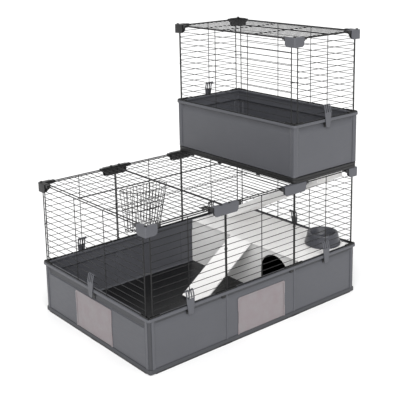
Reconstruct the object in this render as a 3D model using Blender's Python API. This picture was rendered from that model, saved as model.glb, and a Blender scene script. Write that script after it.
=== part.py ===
"""Two-storey modular wire rabbit cage: plastic trays, welded wire grilles, den, ramps, rack and bowl.

Metres, +Z up. The origin is on the ground under the middle of the lower cage. The long side of the cage
runs along X, the front faces -Y, and the upper cage stands on the +X end of the lower one.
"""

import math

import bmesh
import bpy
from mathutils import Matrix, Vector

# Lower cage
LENGTH = 1.075
WIDTH = 0.720
MODULE = 0.3525
GAP = 0.0003
TRAY_BOTTOM = 0.004
RIM_TOP = 0.210
FLOOR_TOP = 0.010
FLOOR_INSET = 0.0160
CORNER_RADIUS = 0.022
POST_REACH = 0.030

# Wire grilles
WIRE = 0.0024
FRAME_WIRE = 0.0034
WIRE_PITCH = 0.025
WIRE_COUNT = 14
GRILLE_HEIGHT = WIRE_PITCH * (WIRE_COUNT - 1)
CORNER_CLEARANCE = 0.0225
GRILLE_GAP = 0.002
MIDDLE_ROOF_END = 0.1642
STIFFENER_OFFSET = 0.0975
GRILLE_INSET = 0.008
GRILLE_FOOT = RIM_TOP + GAP + FRAME_WIRE / 2
GRILLE_TOP = GRILLE_FOOT + GRILLE_HEIGHT

# Connectors on top of the grilles
CONNECTOR_TOP = 0.5435
CONNECTOR_HEIGHT = 0.037
CONNECTOR_ARM = 0.052
TEE_LENGTH = 0.115
PLATE = 0.0042
CAP_DEPTH = 0.0195

# Upper cage
UPPER_LEFT = 0.166
BASE_BOTTOM = CONNECTOR_TOP + GAP
BASE_HEIGHT = 0.0232
BASE_WIDTH = 0.034
UPPER_SHIFT = 0.5633
UPPER_FLOOR_THICKNESS = 0.006
PASSAGE_SIZE = (0.150, 0.190)
PASSAGE_CENTRE = (0.4075, -0.222)

# Windows
WINDOW_SIZE = (0.245, 0.156)
WINDOW_CENTRE_Z = 0.0870
WINDOW_BORDER = 0.006

# Den, platform and ramps
DEN_WALL_X = 0.2275
DEN_WALL_THICKNESS = 0.004
SHEET = 0.004
ARCH_RADIUS = 0.082
ARCH_SPRING_Z = 0.110
ARCH_Y = -0.192
LOWER_RAMP_WIDTH = 0.128
LOWER_RAMP_Y = 0.002
LOWER_RAMP_RUN = 0.275
LOWER_RAMP_THICKNESS = 0.006
UPPER_RAMP_WIDTH = 0.150
UPPER_RAMP_X = 0.4075
UPPER_RAMP_TOP = (-0.312, 0.5405)
UPPER_RAMP_SLOPE = math.atan(0.525)
UPPER_RAMP_LENGTH = 0.612
UPPER_RAMP_DEPTH = 0.036

# Hay rack and bowl
RACK_X = (-0.1655, 0.0500)
RACK_Z = (0.238, 0.434)
RACK_DEPTH = (0.045, 0.098)
RACK_BACK_Y = 0.3455
BOWL_CENTRE = (0.4395, -0.261)
BOWL_RADIUS = 0.075
BOWL_HEIGHT = 0.052

# Hook latches
LATCH_WIDTH = 0.036
LATCH_SLOT = 0.014
LATCH_WIRE_Z = GRILLE_FOOT + 2 * WIRE_PITCH

# Tray wall section: (depth in from the rim's outer edge, height)
WALL_SECTION = (
    (0.0000, 0.1995), (0.0000, RIM_TOP), (0.0200, RIM_TOP), (0.0200, 0.2050), (0.0125, 0.1975),
    (0.0125, TRAY_BOTTOM), (0.0085, TRAY_BOTTOM), (0.0085, 0.0140), (0.0070, 0.0155), (0.0070, 0.1590),
    (0.0098, 0.1650), (0.0098, 0.1940), (0.0060, 0.1985),
)
# The same section at a corner post or a joint, where the recess under the rim is filled in
POST_SECTION = (
    (0.0000, 0.1995), (0.0000, RIM_TOP), (0.0200, RIM_TOP), (0.0200, 0.2050), (0.0125, 0.1975),
    (0.0125, TRAY_BOTTOM), (0.0070, TRAY_BOTTOM), (0.0070, 0.0140), (0.0050, 0.0155), (0.0050, 0.1590),
    (0.0050, 0.1650), (0.0050, 0.1940), (0.0040, 0.1985),
)

# Colours: (linear RGB, metallic, roughness)
FINISHES = {
    "grey_plastic": ((0.120, 0.125, 0.138), 0.0, 0.50),
    "black_plastic": ((0.018, 0.018, 0.019), 0.0, 0.45),
    "white_plastic": ((0.780, 0.775, 0.760), 0.0, 0.45),
    "bowl_plastic": ((0.065, 0.065, 0.072), 0.0, 0.35),
    "frosted_window": ((0.370, 0.350, 0.360), 0.0, 0.55),
    "black_wire": ((0.022, 0.022, 0.022), 0.2, 0.40),
}


def clear_scene():
    for item in list(bpy.data.objects):
        bpy.data.objects.remove(item, do_unlink=True)


def material_for(name, finish):
    colour, metallic, roughness = FINISHES[finish]
    material = bpy.data.materials.new(name)
    material.use_nodes = True
    shader = material.node_tree.nodes["Principled BSDF"]
    shader.inputs["Base Color"].default_value = (*colour, 1.0)
    shader.inputs["Metallic"].default_value = metallic
    shader.inputs["Roughness"].default_value = roughness
    return material


def add_object(name, mesh_data, finish, origin=(0.0, 0.0, 0.0)):
    """Makes the named object from a bmesh in world coordinates, with its origin where asked."""
    bmesh.ops.recalc_face_normals(mesh_data, faces=mesh_data.faces)
    if mesh_data.calc_volume(signed=True) < 0:
        bmesh.ops.reverse_faces(mesh_data, faces=mesh_data.faces)
    mesh_data.transform(Matrix.Translation(-Vector(origin)))
    mesh = bpy.data.meshes.new(name)
    mesh_data.to_mesh(mesh)
    mesh_data.free()
    item = bpy.data.objects.new(name, mesh)
    item.location = origin
    item.data.materials.append(material_for(name, finish))
    bpy.context.scene.collection.objects.link(item)
    return item


def add_cutter(name, mesh_data):
    """Makes an object that only cuts or joins, and is no part of the cage."""
    item = add_object(name, mesh_data, "black_plastic")
    item.hide_render = True
    item.display_type = "WIRE"
    return item


def boolean(target, tool, operation):
    modifier = target.modifiers.new(tool.name, "BOOLEAN")
    modifier.operation = operation
    modifier.solver = "EXACT"
    modifier.object = tool


def box_mesh(low, high):
    mesh_data = bmesh.new()
    size = Vector(high) - Vector(low)
    centre = (Vector(high) + Vector(low)) / 2
    place = Matrix.Translation(centre) @ Matrix.Diagonal((*size, 1.0))
    bmesh.ops.create_cube(mesh_data, size=1.0, matrix=place)
    return mesh_data


def prism_mesh(outline, depth, place):
    """A flat outline in the local XY plane, extruded along local Z and put in its place."""
    mesh_data = bmesh.new()
    face = mesh_data.faces.new([mesh_data.verts.new((x, y, 0.0)) for x, y in outline])
    moved = bmesh.ops.extrude_face_region(mesh_data, geom=[face])["geom"]
    corners = [part for part in moved if isinstance(part, bmesh.types.BMVert)]
    bmesh.ops.translate(mesh_data, verts=corners, vec=(0.0, 0.0, depth))
    mesh_data.transform(place)
    return mesh_data


def sweep_mesh(stations, shift=0.0):
    """Joins the sections at each station (outer point, inward direction, section) into one solid."""
    mesh_data = bmesh.new()
    rings = []
    for (x, y), (inward_x, inward_y), section in stations:
        ring = [mesh_data.verts.new((x + d * inward_x, y + d * inward_y, z + shift)) for d, z in section]
        rings.append(ring)
    count = len(rings[0])
    for near, far in zip(rings, rings[1:]):
        for i in range(count):
            j = (i + 1) % count
            mesh_data.faces.new((near[i], near[j], far[j], far[i]))
    mesh_data.faces.new(rings[0])
    mesh_data.faces.new(list(reversed(rings[-1])))
    return mesh_data


def along_wall(face, distance, bounds):
    """The outer point and inward direction at a distance along one face of a rectangular cage."""
    left, right, front, back = bounds
    return {
        "front": ((left + distance, front), (0.0, 1.0)),
        "back": ((left + distance, back), (0.0, -1.0)),
        "left": ((left, front + distance), (1.0, 0.0)),
        "right": ((right, front + distance), (-1.0, 0.0)),
    }[face]


def straight_wall(face, start, end, bounds):
    """Stations of a straight wall panel whose ends are closed by a narrow full rib."""
    rib, fade = 0.004, 0.007
    marks = (
        (start, POST_SECTION), (start + rib, POST_SECTION), (start + fade, WALL_SECTION),
        (end - fade, WALL_SECTION), (end - rib, POST_SECTION), (end, POST_SECTION),
    )
    return [(*along_wall(face, distance, bounds), section) for distance, section in marks]


def corner_arc(face, bounds, near_front):
    """Stations round one corner post, from its end on the front or back face to its end on the side face."""
    left, right, front, back = bounds
    side = 1.0 if face == "left" else -1.0
    depth = 1.0 if near_front else -1.0
    edge_x = left if face == "left" else right
    edge_y = front if near_front else back
    centre = (edge_x + side * CORNER_RADIUS, edge_y + depth * CORNER_RADIUS)
    stations = [((edge_x + side * POST_REACH, edge_y), (0.0, depth), POST_SECTION)]
    steps = 4
    for step in range(steps + 1):
        angle = math.pi / 2 * step / steps
        inward = (side * math.sin(angle), depth * math.cos(angle))
        point = (centre[0] - CORNER_RADIUS * inward[0], centre[1] - CORNER_RADIUS * inward[1])
        stations.append((point, inward, POST_SECTION))
    return stations


def end_wall(face, bounds):
    """Stations of an end wall with the two corner posts at its ends."""
    front, back = bounds[2], bounds[3]
    first, last = POST_REACH, back - front - POST_REACH
    fade = 0.004
    middle = [
        (*along_wall(face, first, bounds), POST_SECTION),
        (*along_wall(face, first + fade, bounds), WALL_SECTION),
        (*along_wall(face, last - fade, bounds), WALL_SECTION),
        (*along_wall(face, last, bounds), POST_SECTION),
    ]
    return corner_arc(face, bounds, True) + middle + list(reversed(corner_arc(face, bounds, False)))


def window_place(face, centre):
    """Puts a local outline (along the wall, up) on the outside of a lower tray wall."""
    if face == "front":
        turn = Matrix.Rotation(math.pi / 2, 4, "X")
        return Matrix.Translation((centre, -WIDTH / 2, WINDOW_CENTRE_Z)) @ turn
    turn = Matrix.Rotation(-math.pi / 2, 4, "Z") @ Matrix.Rotation(math.pi / 2, 4, "X")
    return Matrix.Translation((-LENGTH / 2, centre, WINDOW_CENTRE_Z)) @ turn


def rectangle(width, height):
    x, y = width / 2, height / 2
    return [(-x, -y), (x, -y), (x, y), (-x, y)]


def rounded_rectangle(width, height, radius, steps=3):
    outline = []
    corners = ((1, -1, -90), (1, 1, 0), (-1, 1, 90), (-1, -1, 180))
    for side_x, side_y, start in corners:
        for step in range(steps + 1):
            angle = math.radians(start + 90 * step / steps)
            x = side_x * (width / 2 - radius) + radius * math.cos(angle)
            y = side_y * (height / 2 - radius) + radius * math.sin(angle)
            outline.append((x, y))
    return outline


def add_window(name, wall, face, centre):
    """A frosted pane that plugs an opening in a tray wall and covers its edge with a thin border."""
    width, height = WINDOW_SIZE
    opening = (width - 2 * WINDOW_BORDER, height - 2 * WINDOW_BORDER)
    outward = window_place(face, centre)
    hole = prism_mesh(rectangle(*opening), 0.060, outward @ Matrix.Translation((0, 0, -0.030)))
    boolean(wall, add_cutter(name + "_hole", hole), "DIFFERENCE")
    border = outward @ Matrix.Translation((0, 0, -0.0067))
    mesh_data = prism_mesh(rounded_rectangle(width, height, 0.012), 0.0020, border)
    pane = add_object(name, mesh_data, "frosted_window")
    plug_size = (opening[0] - 2 * GAP, opening[1] - 2 * GAP)
    plug_place = outward @ Matrix.Translation((0, 0, -0.0125))
    plug = add_cutter(name + "_plug", prism_mesh(rectangle(*plug_size), 0.0070, plug_place))
    boolean(pane, plug, "UNION")


def add_lower_tray():
    bounds = (-LENGTH / 2, LENGTH / 2, -WIDTH / 2, WIDTH / 2)
    margin = (LENGTH - 3 * MODULE) / 2
    joints = (POST_REACH + GAP, margin + MODULE, margin + 2 * MODULE, LENGTH - POST_REACH - GAP)
    walls = {}
    for face in ("front", "back"):
        for place, start, end in zip(("left", "middle", "right"), joints, joints[1:]):
            first = start if place == "left" else start + GAP / 2
            last = end if place == "right" else end - GAP / 2
            name = f"wall_{face}_{place}"
            mesh_data = sweep_mesh(straight_wall(face, first, last, bounds))
            walls[name] = add_object(name, mesh_data, "grey_plastic")
    for face in ("left", "right"):
        name = f"wall_end_{face}"
        walls[name] = add_object(name, sweep_mesh(end_wall(face, bounds)), "grey_plastic")
    add_window("window_front", walls["wall_front_middle"], "front", 0.0)
    add_window("window_end", walls["wall_end_left"], "left", 0.0)

    edges = (-LENGTH / 2 + FLOOR_INSET, -MODULE / 2, MODULE / 2, LENGTH / 2 - FLOOR_INSET)
    for place, start, end in zip(("left", "middle", "right"), edges, edges[1:]):
        low = (start + GAP / 2, -WIDTH / 2 + FLOOR_INSET, 0.0)
        high = (end - GAP / 2, WIDTH / 2 - FLOOR_INSET, FLOOR_TOP)
        add_object(f"floor_{place}", box_mesh(low, high), "black_plastic")


def lattice_mesh(cross_wires, height, place):
    """A flat welded grille: long wires stacked to a height along local Y, cross wires at places on local X.

    The origin is the grille's centre. The cells between the wires are left out of a plane grid, and the
    rest is extruded to the wire's thickness.
    """
    columns = sorted(x + side * FRAME_WIRE / 2 for x in cross_wires for side in (-1, 1))
    rows = []
    for i in range(WIRE_COUNT):
        y = (i / (WIRE_COUNT - 1) - 0.5) * height
        thickness = FRAME_WIRE if i in (0, WIRE_COUNT - 1) else WIRE
        rows += [y - thickness / 2, y + thickness / 2]
    mesh_data = bmesh.new()
    grid = [[mesh_data.verts.new((x, y, -FRAME_WIRE / 2)) for x in columns] for y in rows]
    faces = []
    for j in range(len(rows) - 1):
        for i in range(len(columns) - 1):
            if i % 2 and j % 2:
                continue
            corners = (grid[j][i], grid[j][i + 1], grid[j + 1][i + 1], grid[j + 1][i])
            faces.append(mesh_data.faces.new(corners))
    moved = bmesh.ops.extrude_face_region(mesh_data, geom=faces)["geom"]
    raised = [part for part in moved if isinstance(part, bmesh.types.BMVert)]
    bmesh.ops.translate(mesh_data, verts=raised, vec=(0.0, 0.0, FRAME_WIRE))
    mesh_data.transform(place)
    return mesh_data


def cross_wires_of(start, end, stiffeners):
    """Cross wires at both ends of a grille and at its stiffeners, measured from its middle."""
    half = (end - start - FRAME_WIRE) / 2
    return (-half, *(mark - (start + end) / 2 for mark in stiffeners), half)


def upright_grille(face, start, end, stiffeners, bounds, shift):
    """A wall grille between two places along a face, with its stiffeners at the given places."""
    left, right, front, back = bounds
    height = (GRILLE_FOOT + GRILLE_TOP) / 2 + shift
    middle = (start + end) / 2
    spot = {
        "front": (middle, front + GRILLE_INSET, height),
        "back": (middle, back - GRILLE_INSET, height),
        "left": (left + GRILLE_INSET, middle, height),
        "right": (right - GRILLE_INSET, middle, height),
    }[face]
    turn = Matrix.Rotation(math.pi / 2, 4, "X")
    if face in ("left", "right"):
        turn = Matrix.Rotation(math.pi / 2, 4, "Z") @ turn
    wires = cross_wires_of(start, end, stiffeners)
    return lattice_mesh(wires, GRILLE_HEIGHT, Matrix.Translation(spot) @ turn)


def end_grille(face, bounds, shift):
    """A wall grille over the whole depth of the cage, with two stiffeners."""
    reach = WIDTH / 2 - CORNER_CLEARANCE
    return upright_grille(face, -reach, reach, (-STIFFENER_OFFSET, STIFFENER_OFFSET), bounds, shift)


def roof_grille(start, end, height):
    """A roof grille from one X to another over the whole depth, with its long wires across the cage."""
    reach = WIDTH / 2 - CORNER_CLEARANCE
    wires = cross_wires_of(-reach, reach, (-STIFFENER_OFFSET, STIFFENER_OFFSET))
    place = Matrix.Translation(((start + end) / 2, 0.0, height)) @ Matrix.Rotation(math.pi / 2, 4, "Z")
    return lattice_mesh(wires, end - start - FRAME_WIRE, place)


def add_lower_grilles():
    bounds = (-LENGTH / 2, LENGTH / 2, -WIDTH / 2, WIDTH / 2)
    end = LENGTH / 2 - CORNER_CLEARANCE
    near, far = (MODULE - GRILLE_GAP) / 2, (MODULE + GRILLE_GAP) / 2
    spans = (("left", -end, -far, -MODULE), ("middle", -near, near, 0.0), ("right", far, end, MODULE))
    for face in ("front", "back"):
        for place, first, last, stiffener in spans:
            mesh_data = upright_grille(face, first, last, (stiffener,), bounds, 0.0)
            add_object(f"grille_{face}_{place}", mesh_data, "black_wire")
    for face in ("left", "right"):
        add_object(f"grille_end_{face}", end_grille(face, bounds, 0.0), "black_wire")
    hinge_y = WIDTH / 2 - CORNER_CLEARANCE - FRAME_WIRE / 2
    for place, first, last in (("left", -end, -far), ("middle", -near, MIDDLE_ROOF_END)):
        origin = ((first + last) / 2, hinge_y, GRILLE_TOP)
        add_object(f"roof_{place}", roof_grille(first, last, GRILLE_TOP), "black_wire", origin)


def connector_section(foot):
    """A plate on the outside of the grilles with a cap over their top wires."""
    top = CONNECTOR_TOP
    return (
        (0.0, foot), (0.0, top), (CAP_DEPTH, top), (CAP_DEPTH, top - PLATE), (PLATE, top - PLATE),
        (PLATE, foot),
    )


def corner_connector(side_x, side_y, bounds, shift):
    """A three-way corner piece: two tapered plates under one L-shaped cap."""
    left, right, front, back = bounds
    x = left if side_x < 0 else right
    y = front if side_y < 0 else back
    low = connector_section(CONNECTOR_TOP - CONNECTOR_HEIGHT)
    tip = connector_section(CONNECTOR_TOP - CONNECTOR_HEIGHT * 0.55)
    inward = (-side_x, -side_y)
    taper = 0.014
    stations = [
        ((x + inward[0] * CONNECTOR_ARM, y), (0.0, inward[1]), tip),
        ((x + inward[0] * (CONNECTOR_ARM - taper), y), (0.0, inward[1]), low),
        ((x, y), inward, low),
        ((x, y + inward[1] * (CONNECTOR_ARM - taper)), (inward[0], 0.0), low),
        ((x, y + inward[1] * CONNECTOR_ARM), (inward[0], 0.0), tip),
    ]
    return sweep_mesh(stations, shift)


def tee_connector(x, side_y):
    """A straight piece that joins two neighbouring wall grilles and the roof grilles behind them."""
    low = connector_section(CONNECTOR_TOP - CONNECTOR_HEIGHT)
    tip = connector_section(CONNECTOR_TOP - 0.020)
    inward = (0.0, -side_y)
    y = side_y * WIDTH / 2
    half, taper = TEE_LENGTH / 2, 0.014
    marks = ((x - half, tip), (x - half + taper, low), (x + half - taper, low), (x + half, tip))
    return sweep_mesh([((mark, y), inward, section) for mark, section in marks])


def connector_finish(face):
    """The connectors are grey along the front and black along the back."""
    return "grey_plastic" if face == "front" else "black_plastic"


def add_lower_connectors():
    bounds = (-LENGTH / 2, LENGTH / 2, -WIDTH / 2, WIDTH / 2)
    for side_y, face in ((-1, "front"), (1, "back")):
        finish = connector_finish(face)
        for side_x, place in ((-1, "left"), (1, "right")):
            add_object(f"corner_{face}_{place}", corner_connector(side_x, side_y, bounds, 0.0), finish)
        for x, place in ((-MODULE / 2, "left"), (MODULE / 2, "right")):
            add_object(f"tee_{face}_{place}", tee_connector(x, side_y), finish)


def add_upper_cage():
    bounds = (UPPER_LEFT, LENGTH / 2, -WIDTH / 2, WIDTH / 2)
    left, right, front, back = bounds
    centre = (left + right) / 2
    width = right - left
    roof_start, roof_end = left + CORNER_CLEARANCE, right - CORNER_CLEARANCE

    inset = 0.002
    frame_low = (left + inset, front + inset, BASE_BOTTOM)
    frame_high = (right - inset, back - inset, BASE_BOTTOM + BASE_HEIGHT)
    frame = add_object("upper_base_frame", box_mesh(frame_low, frame_high), "black_plastic")
    well_low = (left + BASE_WIDTH, front + BASE_WIDTH, BASE_BOTTOM - 0.01)
    well_high = (right - BASE_WIDTH, back - BASE_WIDTH, BASE_BOTTOM + BASE_HEIGHT + 0.01)
    boolean(frame, add_cutter("frame_well", box_mesh(well_low, well_high)), "DIFFERENCE")

    floor_bottom = BASE_BOTTOM + BASE_HEIGHT + GAP
    floor_low = (left + FLOOR_INSET, front + FLOOR_INSET, floor_bottom)
    floor_high = (right - FLOOR_INSET, back - FLOOR_INSET, floor_bottom + UPPER_FLOOR_THICKNESS)
    floor = add_object("upper_floor", box_mesh(floor_low, floor_high), "black_plastic")
    passage = prism_mesh(
        rounded_rectangle(*PASSAGE_SIZE, 0.012), 0.04,
        Matrix.Translation((*PASSAGE_CENTRE, floor_bottom - 0.01)),
    )
    boolean(floor, add_cutter("ramp_passage", passage), "DIFFERENCE")

    for face in ("left", "right"):
        mesh_data = sweep_mesh(end_wall(face, bounds), UPPER_SHIFT)
        add_object(f"upper_wall_{face}", mesh_data, "grey_plastic")
        add_object(f"upper_grille_{face}", end_grille(face, bounds, UPPER_SHIFT), "black_wire")
    for face in ("front", "back"):
        stations = straight_wall(face, POST_REACH + GAP, width - POST_REACH - GAP, bounds)
        add_object(f"upper_wall_{face}", sweep_mesh(stations, UPPER_SHIFT), "grey_plastic")
        mesh_data = upright_grille(face, roof_start, roof_end, (centre,), bounds, UPPER_SHIFT)
        add_object(f"upper_grille_{face}", mesh_data, "black_wire")
        for side_x, place in ((-1, "left"), (1, "right")):
            mesh_data = corner_connector(side_x, -1 if face == "front" else 1, bounds, UPPER_SHIFT)
            add_object(f"upper_corner_{face}_{place}", mesh_data, connector_finish(face))

    roof_height = GRILLE_TOP + UPPER_SHIFT
    origin = (roof_end - FRAME_WIRE / 2, 0.0, roof_height)
    add_object("roof_upper", roof_grille(roof_start, roof_end, roof_height), "black_wire", origin)


def add_den():
    """The den wall with its arched door, and the platform that roofs the den."""
    sheet_x = DEN_WALL_X - DEN_WALL_THICKNESS / 2
    side = WIDTH / 2 - 0.0130
    inner = WIDTH / 2 - 0.0215
    bottom, top = FLOOR_TOP + GAP, RIM_TOP - SHEET - GAP
    rim_foot, rim_edge = 0.1965, 0.2040
    outline = [
        (-side, bottom), (side, bottom), (side, rim_foot), (inner, rim_edge), (inner, top),
        (-inner, top), (-inner, rim_edge), (-side, rim_foot),
    ]
    turn = Matrix.Rotation(math.pi / 2, 4, "Z") @ Matrix.Rotation(math.pi / 2, 4, "X")
    place = Matrix.Translation((sheet_x, 0.0, 0.0)) @ turn
    wall = add_object("den_wall", prism_mesh(outline, DEN_WALL_THICKNESS, place), "white_plastic")
    arch = [(-ARCH_RADIUS, -ARCH_SPRING_Z), (ARCH_RADIUS, -ARCH_SPRING_Z)]
    steps = 12
    for step in range(steps + 1):
        angle = math.pi * step / steps
        arch.append((ARCH_RADIUS * math.cos(angle), ARCH_RADIUS * math.sin(angle)))
    place = Matrix.Translation((DEN_WALL_X - 0.02, ARCH_Y, ARCH_SPRING_Z)) @ turn
    boolean(wall, add_cutter("den_door", prism_mesh(arch, 0.04, place)), "DIFFERENCE")

    low = (sheet_x - 0.004, -inner, RIM_TOP - SHEET)
    high = (LENGTH / 2 - 0.0215, inner, RIM_TOP)
    add_object("platform", box_mesh(low, high), "white_plastic")


def add_lower_ramp():
    """A plank from the platform's left edge down to the floor, hinged at its top edge."""
    top = (DEN_WALL_X - DEN_WALL_THICKNESS / 2 - 0.0055, RIM_TOP - 0.0010)
    foot_z = FLOOR_TOP + 0.0030
    foot = (top[0] - LOWER_RAMP_RUN, foot_z)
    slope = math.atan2(top[1] - foot[1], LOWER_RAMP_RUN)
    length = math.hypot(top[1] - foot[1], LOWER_RAMP_RUN)
    outline = [(0.0, 0.0), (-length, 0.0), (-length, LOWER_RAMP_THICKNESS), (0.0, LOWER_RAMP_THICKNESS)]
    turn = Matrix.Rotation(math.pi / 2, 4, "X")
    place = (
        Matrix.Translation((top[0], LOWER_RAMP_Y + LOWER_RAMP_WIDTH / 2, top[1]))
        @ Matrix.Rotation(-slope, 4, "Y") @ turn
    )
    origin = (top[0], LOWER_RAMP_Y, top[1])
    add_object("ramp_lower", prism_mesh(outline, LOWER_RAMP_WIDTH, place), "white_plastic", origin)


def add_upper_ramp():
    """A plank with deep side skirts from the platform up to the passage, hinged at its top edge."""
    deck, skirt = 0.005, 0.005
    half = UPPER_RAMP_WIDTH / 2
    section = [
        (-half, 0.0), (-half, -UPPER_RAMP_DEPTH), (-half + skirt, -UPPER_RAMP_DEPTH), (-half + skirt, -deck),
        (half - skirt, -deck), (half - skirt, -UPPER_RAMP_DEPTH), (half, -UPPER_RAMP_DEPTH), (half, 0.0),
    ]
    top_y, top_z = UPPER_RAMP_TOP
    place = (
        Matrix.Translation((UPPER_RAMP_X, top_y, top_z))
        @ Matrix.Rotation(-UPPER_RAMP_SLOPE, 4, "X")
        @ Matrix.Rotation(-math.pi / 2, 4, "X")
        @ Matrix.Diagonal((1.0, -1.0, 1.0, 1.0))
    )
    ramp = add_object(
        "ramp_upper", prism_mesh(section, UPPER_RAMP_LENGTH, place), "white_plastic",
        (UPPER_RAMP_X, top_y, top_z),
    )
    ground = box_mesh((0.2, -0.4, 0.0), (0.6, 0.4, RIM_TOP + GAP))
    boolean(ramp, add_cutter("ramp_foot_trim", ground), "DIFFERENCE")
    head = box_mesh((0.2, -0.5, 0.3), (0.6, -WIDTH / 2 + 0.022, 0.6))
    boolean(ramp, add_cutter("ramp_head_trim", head), "DIFFERENCE")


def add_hay_rack():
    """A bowed open-topped basket of upright wires and three hoops on the back grille."""
    uprights, span = 13, 0.78
    wire, hoop = 0.0030, 0.0036
    centre_x = (RACK_X[0] + RACK_X[1]) / 2
    half_width = (RACK_X[1] - RACK_X[0]) / 2
    middle_z = (RACK_Z[0] + RACK_Z[1]) / 2

    def bowed(angle, height, offset):
        share = (height - RACK_Z[0]) / (RACK_Z[1] - RACK_Z[0])
        depth = RACK_DEPTH[0] + (RACK_DEPTH[1] - RACK_DEPTH[0]) * share + offset
        half = half_width * (span + (1 - span) * share) + offset
        return (centre_x - half * math.cos(angle), RACK_BACK_Y - depth * math.sin(angle), height)

    angles = []
    for i in range(uprights):
        middle = math.pi * i / (uprights - 1)
        half_wire = wire / 2 / (half_width * 0.75)
        angles += [max(0.0, middle - half_wire), min(math.pi, middle + half_wire)]
    heights = []
    for centre in (RACK_Z[0] + hoop / 2, middle_z, RACK_Z[1] - hoop / 2):
        heights += [centre - hoop / 2, centre + hoop / 2]
    mesh_data = bmesh.new()
    inner = [[mesh_data.verts.new(bowed(a, z, -wire)) for a in angles] for z in heights]
    outer = [[mesh_data.verts.new(bowed(a, z, 0.0)) for a in angles] for z in heights]

    def solid(j, i):
        inside = 0 <= j < len(heights) - 1 and 0 <= i < len(angles) - 1
        return inside and not (i % 2 and j % 2)

    for j in range(len(heights) - 1):
        for i in range(len(angles) - 1):
            if not solid(j, i):
                continue
            quad = ((j, i), (j, i + 1), (j + 1, i + 1), (j + 1, i))
            mesh_data.faces.new([outer[b][a] for b, a in quad])
            mesh_data.faces.new([inner[b][a] for b, a in reversed(quad)])
            for first, second, beyond in (
                (quad[0], quad[1], (j - 1, i)), (quad[1], quad[2], (j, i + 1)),
                (quad[2], quad[3], (j + 1, i)), (quad[3], quad[0], (j, i - 1)),
            ):
                if not solid(*beyond):
                    edge = (outer[second[0]][second[1]], outer[first[0]][first[1]])
                    back = (inner[first[0]][first[1]], inner[second[0]][second[1]])
                    mesh_data.faces.new((*edge, *back))
    origin = (centre_x, RACK_BACK_Y, RACK_Z[0])
    rack = add_object("hay_rack", mesh_data, "black_wire", origin)

    steps = 12
    half, depth = half_width * span - 0.0012, RACK_DEPTH[0] - 0.0012
    turns = [math.pi * i / steps for i in range(steps + 1)]
    tray = [(-half * math.cos(turn), -depth * math.sin(turn)) for turn in turns]
    place = Matrix.Translation((centre_x, RACK_BACK_Y, RACK_Z[0] + 0.0004))
    boolean(rack, add_cutter("rack_bottom", prism_mesh(tray, 0.0026, place)), "UNION")


def add_bowl():
    """A turned feed bowl with a thick wall and a rolled lip, standing on the platform."""
    floor_z = RIM_TOP + GAP
    profile = (
        (0.0, 0.0), (0.80, 0.0), (1.0, 0.36), (0.97, 0.94), (0.93, 1.0), (0.88, 0.94), (0.84, 0.42),
        (0.66, 0.20), (0.0, 0.17),
    )
    steps = 24
    mesh_data = bmesh.new()
    centre = Vector((*BOWL_CENTRE, floor_z))
    rings = []
    for share, height in profile[1:-1]:
        radius = share * BOWL_RADIUS
        ring = []
        for step in range(steps):
            angle = 2 * math.pi * step / steps
            spot = Vector((radius * math.cos(angle), radius * math.sin(angle), height * BOWL_HEIGHT))
            ring.append(mesh_data.verts.new(centre + spot))
        rings.append(ring)
    for near, far in zip(rings, rings[1:]):
        for i in range(steps):
            j = (i + 1) % steps
            mesh_data.faces.new((near[i], near[j], far[j], far[i]))
    mesh_data.faces.new(list(reversed(rings[0])))
    mesh_data.faces.new(rings[-1])
    add_object("bowl", mesh_data, "bowl_plastic", tuple(centre))


def latch_mesh(face, centre, bounds, shift):
    """A hook that hangs on the third wire and catches under the tray rim with its lip."""
    wire_d, clear = GRILLE_INSET, 0.0030
    wire_z = LATCH_WIRE_Z
    outline = [
        (-0.0048, 0.1770), (-0.0030, 0.1760), (-0.0012, 0.1925), (0.0040, 0.1938), (0.0040, 0.1965),
        (-0.0010, 0.1980), (-0.0010, wire_z - 0.004), (wire_d - clear - 0.0015, wire_z + clear),
        (wire_d + clear, wire_z + clear), (wire_d + clear, wire_z - 0.0020),
        (wire_d + clear + 0.0022, wire_z - 0.0020), (wire_d + clear + 0.0022, wire_z + clear + 0.0022),
        (wire_d - clear - 0.0030, wire_z + clear + 0.0022),
        (-0.0042, wire_z),
    ]
    (x, y), (inward_x, inward_y) = along_wall(face, centre, bounds)
    across = Vector((0.0, 0.0, 1.0)).cross(Vector((inward_x, inward_y, 0.0)))
    place = Matrix((
        (inward_x, 0.0, across.x, x - across.x * LATCH_WIDTH / 2),
        (inward_y, 0.0, across.y, y - across.y * LATCH_WIDTH / 2),
        (0.0, 1.0, 0.0, shift),
        (0.0, 0.0, 0.0, 1.0),
    ))
    pivot = (x + inward_x * wire_d, y + inward_y * wire_d, wire_z + shift)
    slot_low = (-0.02, wire_z - 0.012, LATCH_WIDTH / 2 - LATCH_SLOT / 2)
    slot_high = (0.03, wire_z + 0.02, LATCH_WIDTH / 2 + LATCH_SLOT / 2)
    slot = box_mesh(slot_low, slot_high)
    slot.transform(place)
    return prism_mesh(outline, LATCH_WIDTH, place), slot, pivot


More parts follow.
